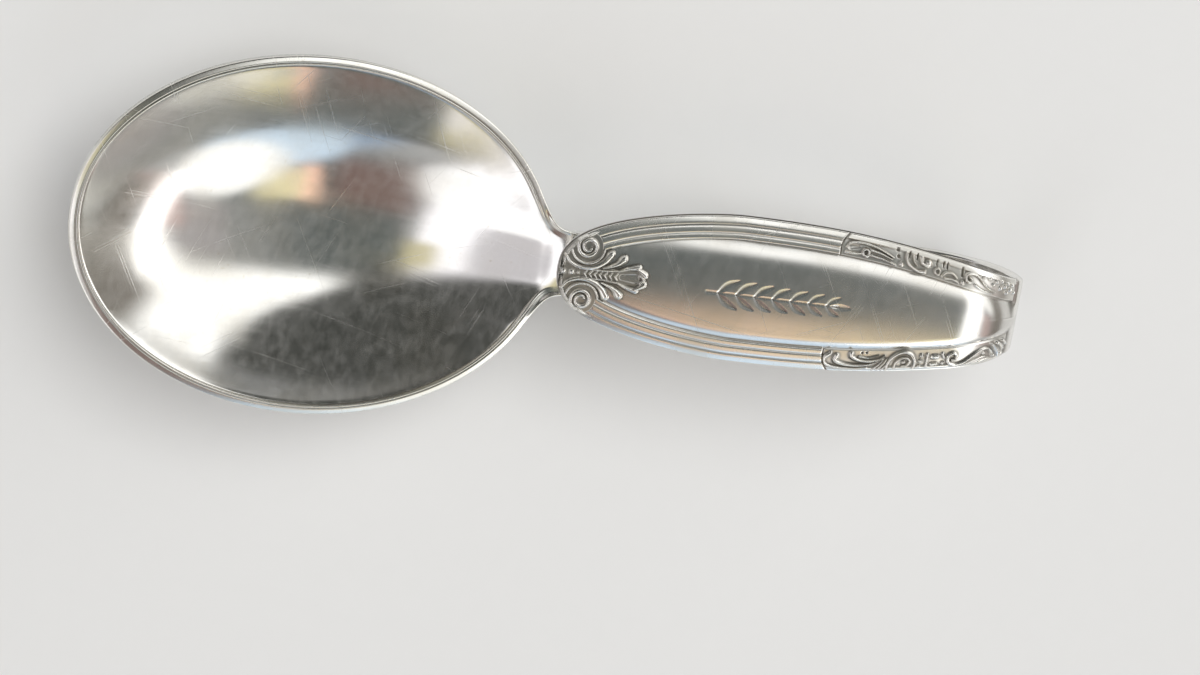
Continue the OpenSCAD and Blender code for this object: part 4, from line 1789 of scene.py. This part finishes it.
@dataclass(frozen=True)
class Studio:
    """Pale floor, grey surroundings that darken overhead, soft lamps, and the camera of the photograph."""

    sizes: SpoonSizes
    floor_side: float = 6.0
    floor_tone: Colour = (0.80, 0.80, 0.79)
    grain_tone: float = 0.985
    grain_scale: float = 0.4
    floor_roughness: float = 0.9
    low_tone: Colour = (0.50, 0.50, 0.50)
    high_tone: Colour = (0.11, 0.125, 0.122)
    sky_rise: Pair = (0.1, 0.8)
    image_w_px: float = 1200.0
    lens_px: float = 2861.6
    sensor_mm: float = 36.0
    camera_mm: float = 250.0
    clip_start: float = 0.01
    aim_mm: Pair = (24.872, -8.641)
    turn_deg: Triple = (13.318, 15.946, -5.455)

    def build_floor(self) -> None:
        """Builds the floor that the spoon lies on."""
        side = self.floor_side / 2
        mesh = bpy.data.meshes.new("floor")
        corners = [(-side, -side, 0.0), (side, -side, 0.0), (side, side, 0.0), (-side, side, 0.0)]
        mesh.from_pydata(corners, [], [(0, 1, 2, 3)])
        floor = bpy.data.objects.new("floor", mesh)
        bpy.context.scene.collection.objects.link(floor)
        material = bpy.data.materials.new("floor_paper")
        nodes = Nodes(material)
        grain = nodes.noise(nodes.place(PLAIN), self.grain_scale, 2.0)
        tone = nodes.blend(grain, tuple(k * self.grain_tone for k in self.floor_tone), self.floor_tone)
        paper = {"Base Color": tone, "Roughness": self.floor_roughness}
        shader = nodes.node("ShaderNodeBsdfPrincipled", {}, paper)
        nodes.node("ShaderNodeOutputMaterial", {}, {"Surface": shader})
        mesh.materials.append(material)

    def build_world(self) -> None:
        """Builds the surroundings: pale at the horizon, darker overhead, with soft patches over them."""
        world = bpy.data.worlds.new("studio")
        bpy.context.scene.world = world
        nodes = Nodes(world)
        way = nodes.node("ShaderNodeTexCoord", {}, {}, "Generated")

        def towards(aim: Triple) -> Field:
            """Cosine of the angle between a direction and an aim."""
            return nodes.node("ShaderNodeVectorMath", {"operation": "DOT_PRODUCT"}, {0: way, 1: aim}, "Value")

        tone = nodes.blend(towards(UP).ramp(*self.sky_rise), self.low_tone, self.high_tone)
        for glow in GLOWS:
            share = math.prod(towards(aim).ramp(edge, full) for aim, edge, full in glow.limits)
            tone = nodes.blend(share, tone, glow.tone)
        shader = nodes.node("ShaderNodeBackground", {}, {"Color": tone, "Strength": 1.0})
        nodes.node("ShaderNodeOutputWorld", {}, {"Surface": shader})

    def build_lamps(self) -> None:
        """Builds the soft lamps round the spoon."""
        for lamp in LAMPS:
            lamp.build()

    def build_camera(self) -> None:
        """Builds the camera: turned about x, y and z from straight above, at its distance from the rim."""
        turns = zip(self.turn_deg, "XYZ")
        about = [Matrix.Rotation(math.radians(angle), 3, axis) for angle, axis in turns]
        to_world = (about[2] @ about[1] @ about[0]).transposed()
        place = to_world @ Vector((*self.aim_mm, self.camera_mm)) + Vector(self.sizes.origin)
        data = bpy.data.cameras.new("camera")
        data.sensor_width = self.sensor_mm
        data.lens = self.lens_px * self.sensor_mm / self.image_w_px
        data.clip_start = self.clip_start
        camera = bpy.data.objects.new("camera", data)
        camera.matrix_world = Matrix.Translation(place * MM) @ to_world.to_4x4()
        bpy.context.scene.collection.objects.link(camera)
        bpy.context.scene.camera = camera

    def build(self) -> None:
        """Builds all of the studio."""
        bpy.context.scene.view_settings.view_transform = "Standard"
        self.build_camera()
        self.build_floor()
        self.build_world()
        self.build_lamps()


def main() -> None:
    """Builds the studio and every piece of the spoon in order."""
    logging.basicConfig(level=logging.INFO, format="%(name)s: %(message)s")
    sizes = SpoonSizes.from_frame()
    shop = Workshop(sizes)
    Studio(sizes).build()
    bowl = Bowl(sizes)
    strap = Strap(bowl)
    border = Border()
    tip = TipOrnament(strap, border)
    bowl.dress(shop)
    Handle(strap, border, Sprig(), tip).dress(shop)
    HeelSolder(strap).dress(shop)
    ornament = ORNAMENT_SILVER.build()
    tip.dress(shop, ornament)
    for side in Side:
        strip = EdgeStrip(strap, border, side)
        threads = Threads(strip)
        threads.dress(shop, ornament)
        Scrolls(strip, threads).dress(shop, ornament)


if __name__ == "__main__":
    main()
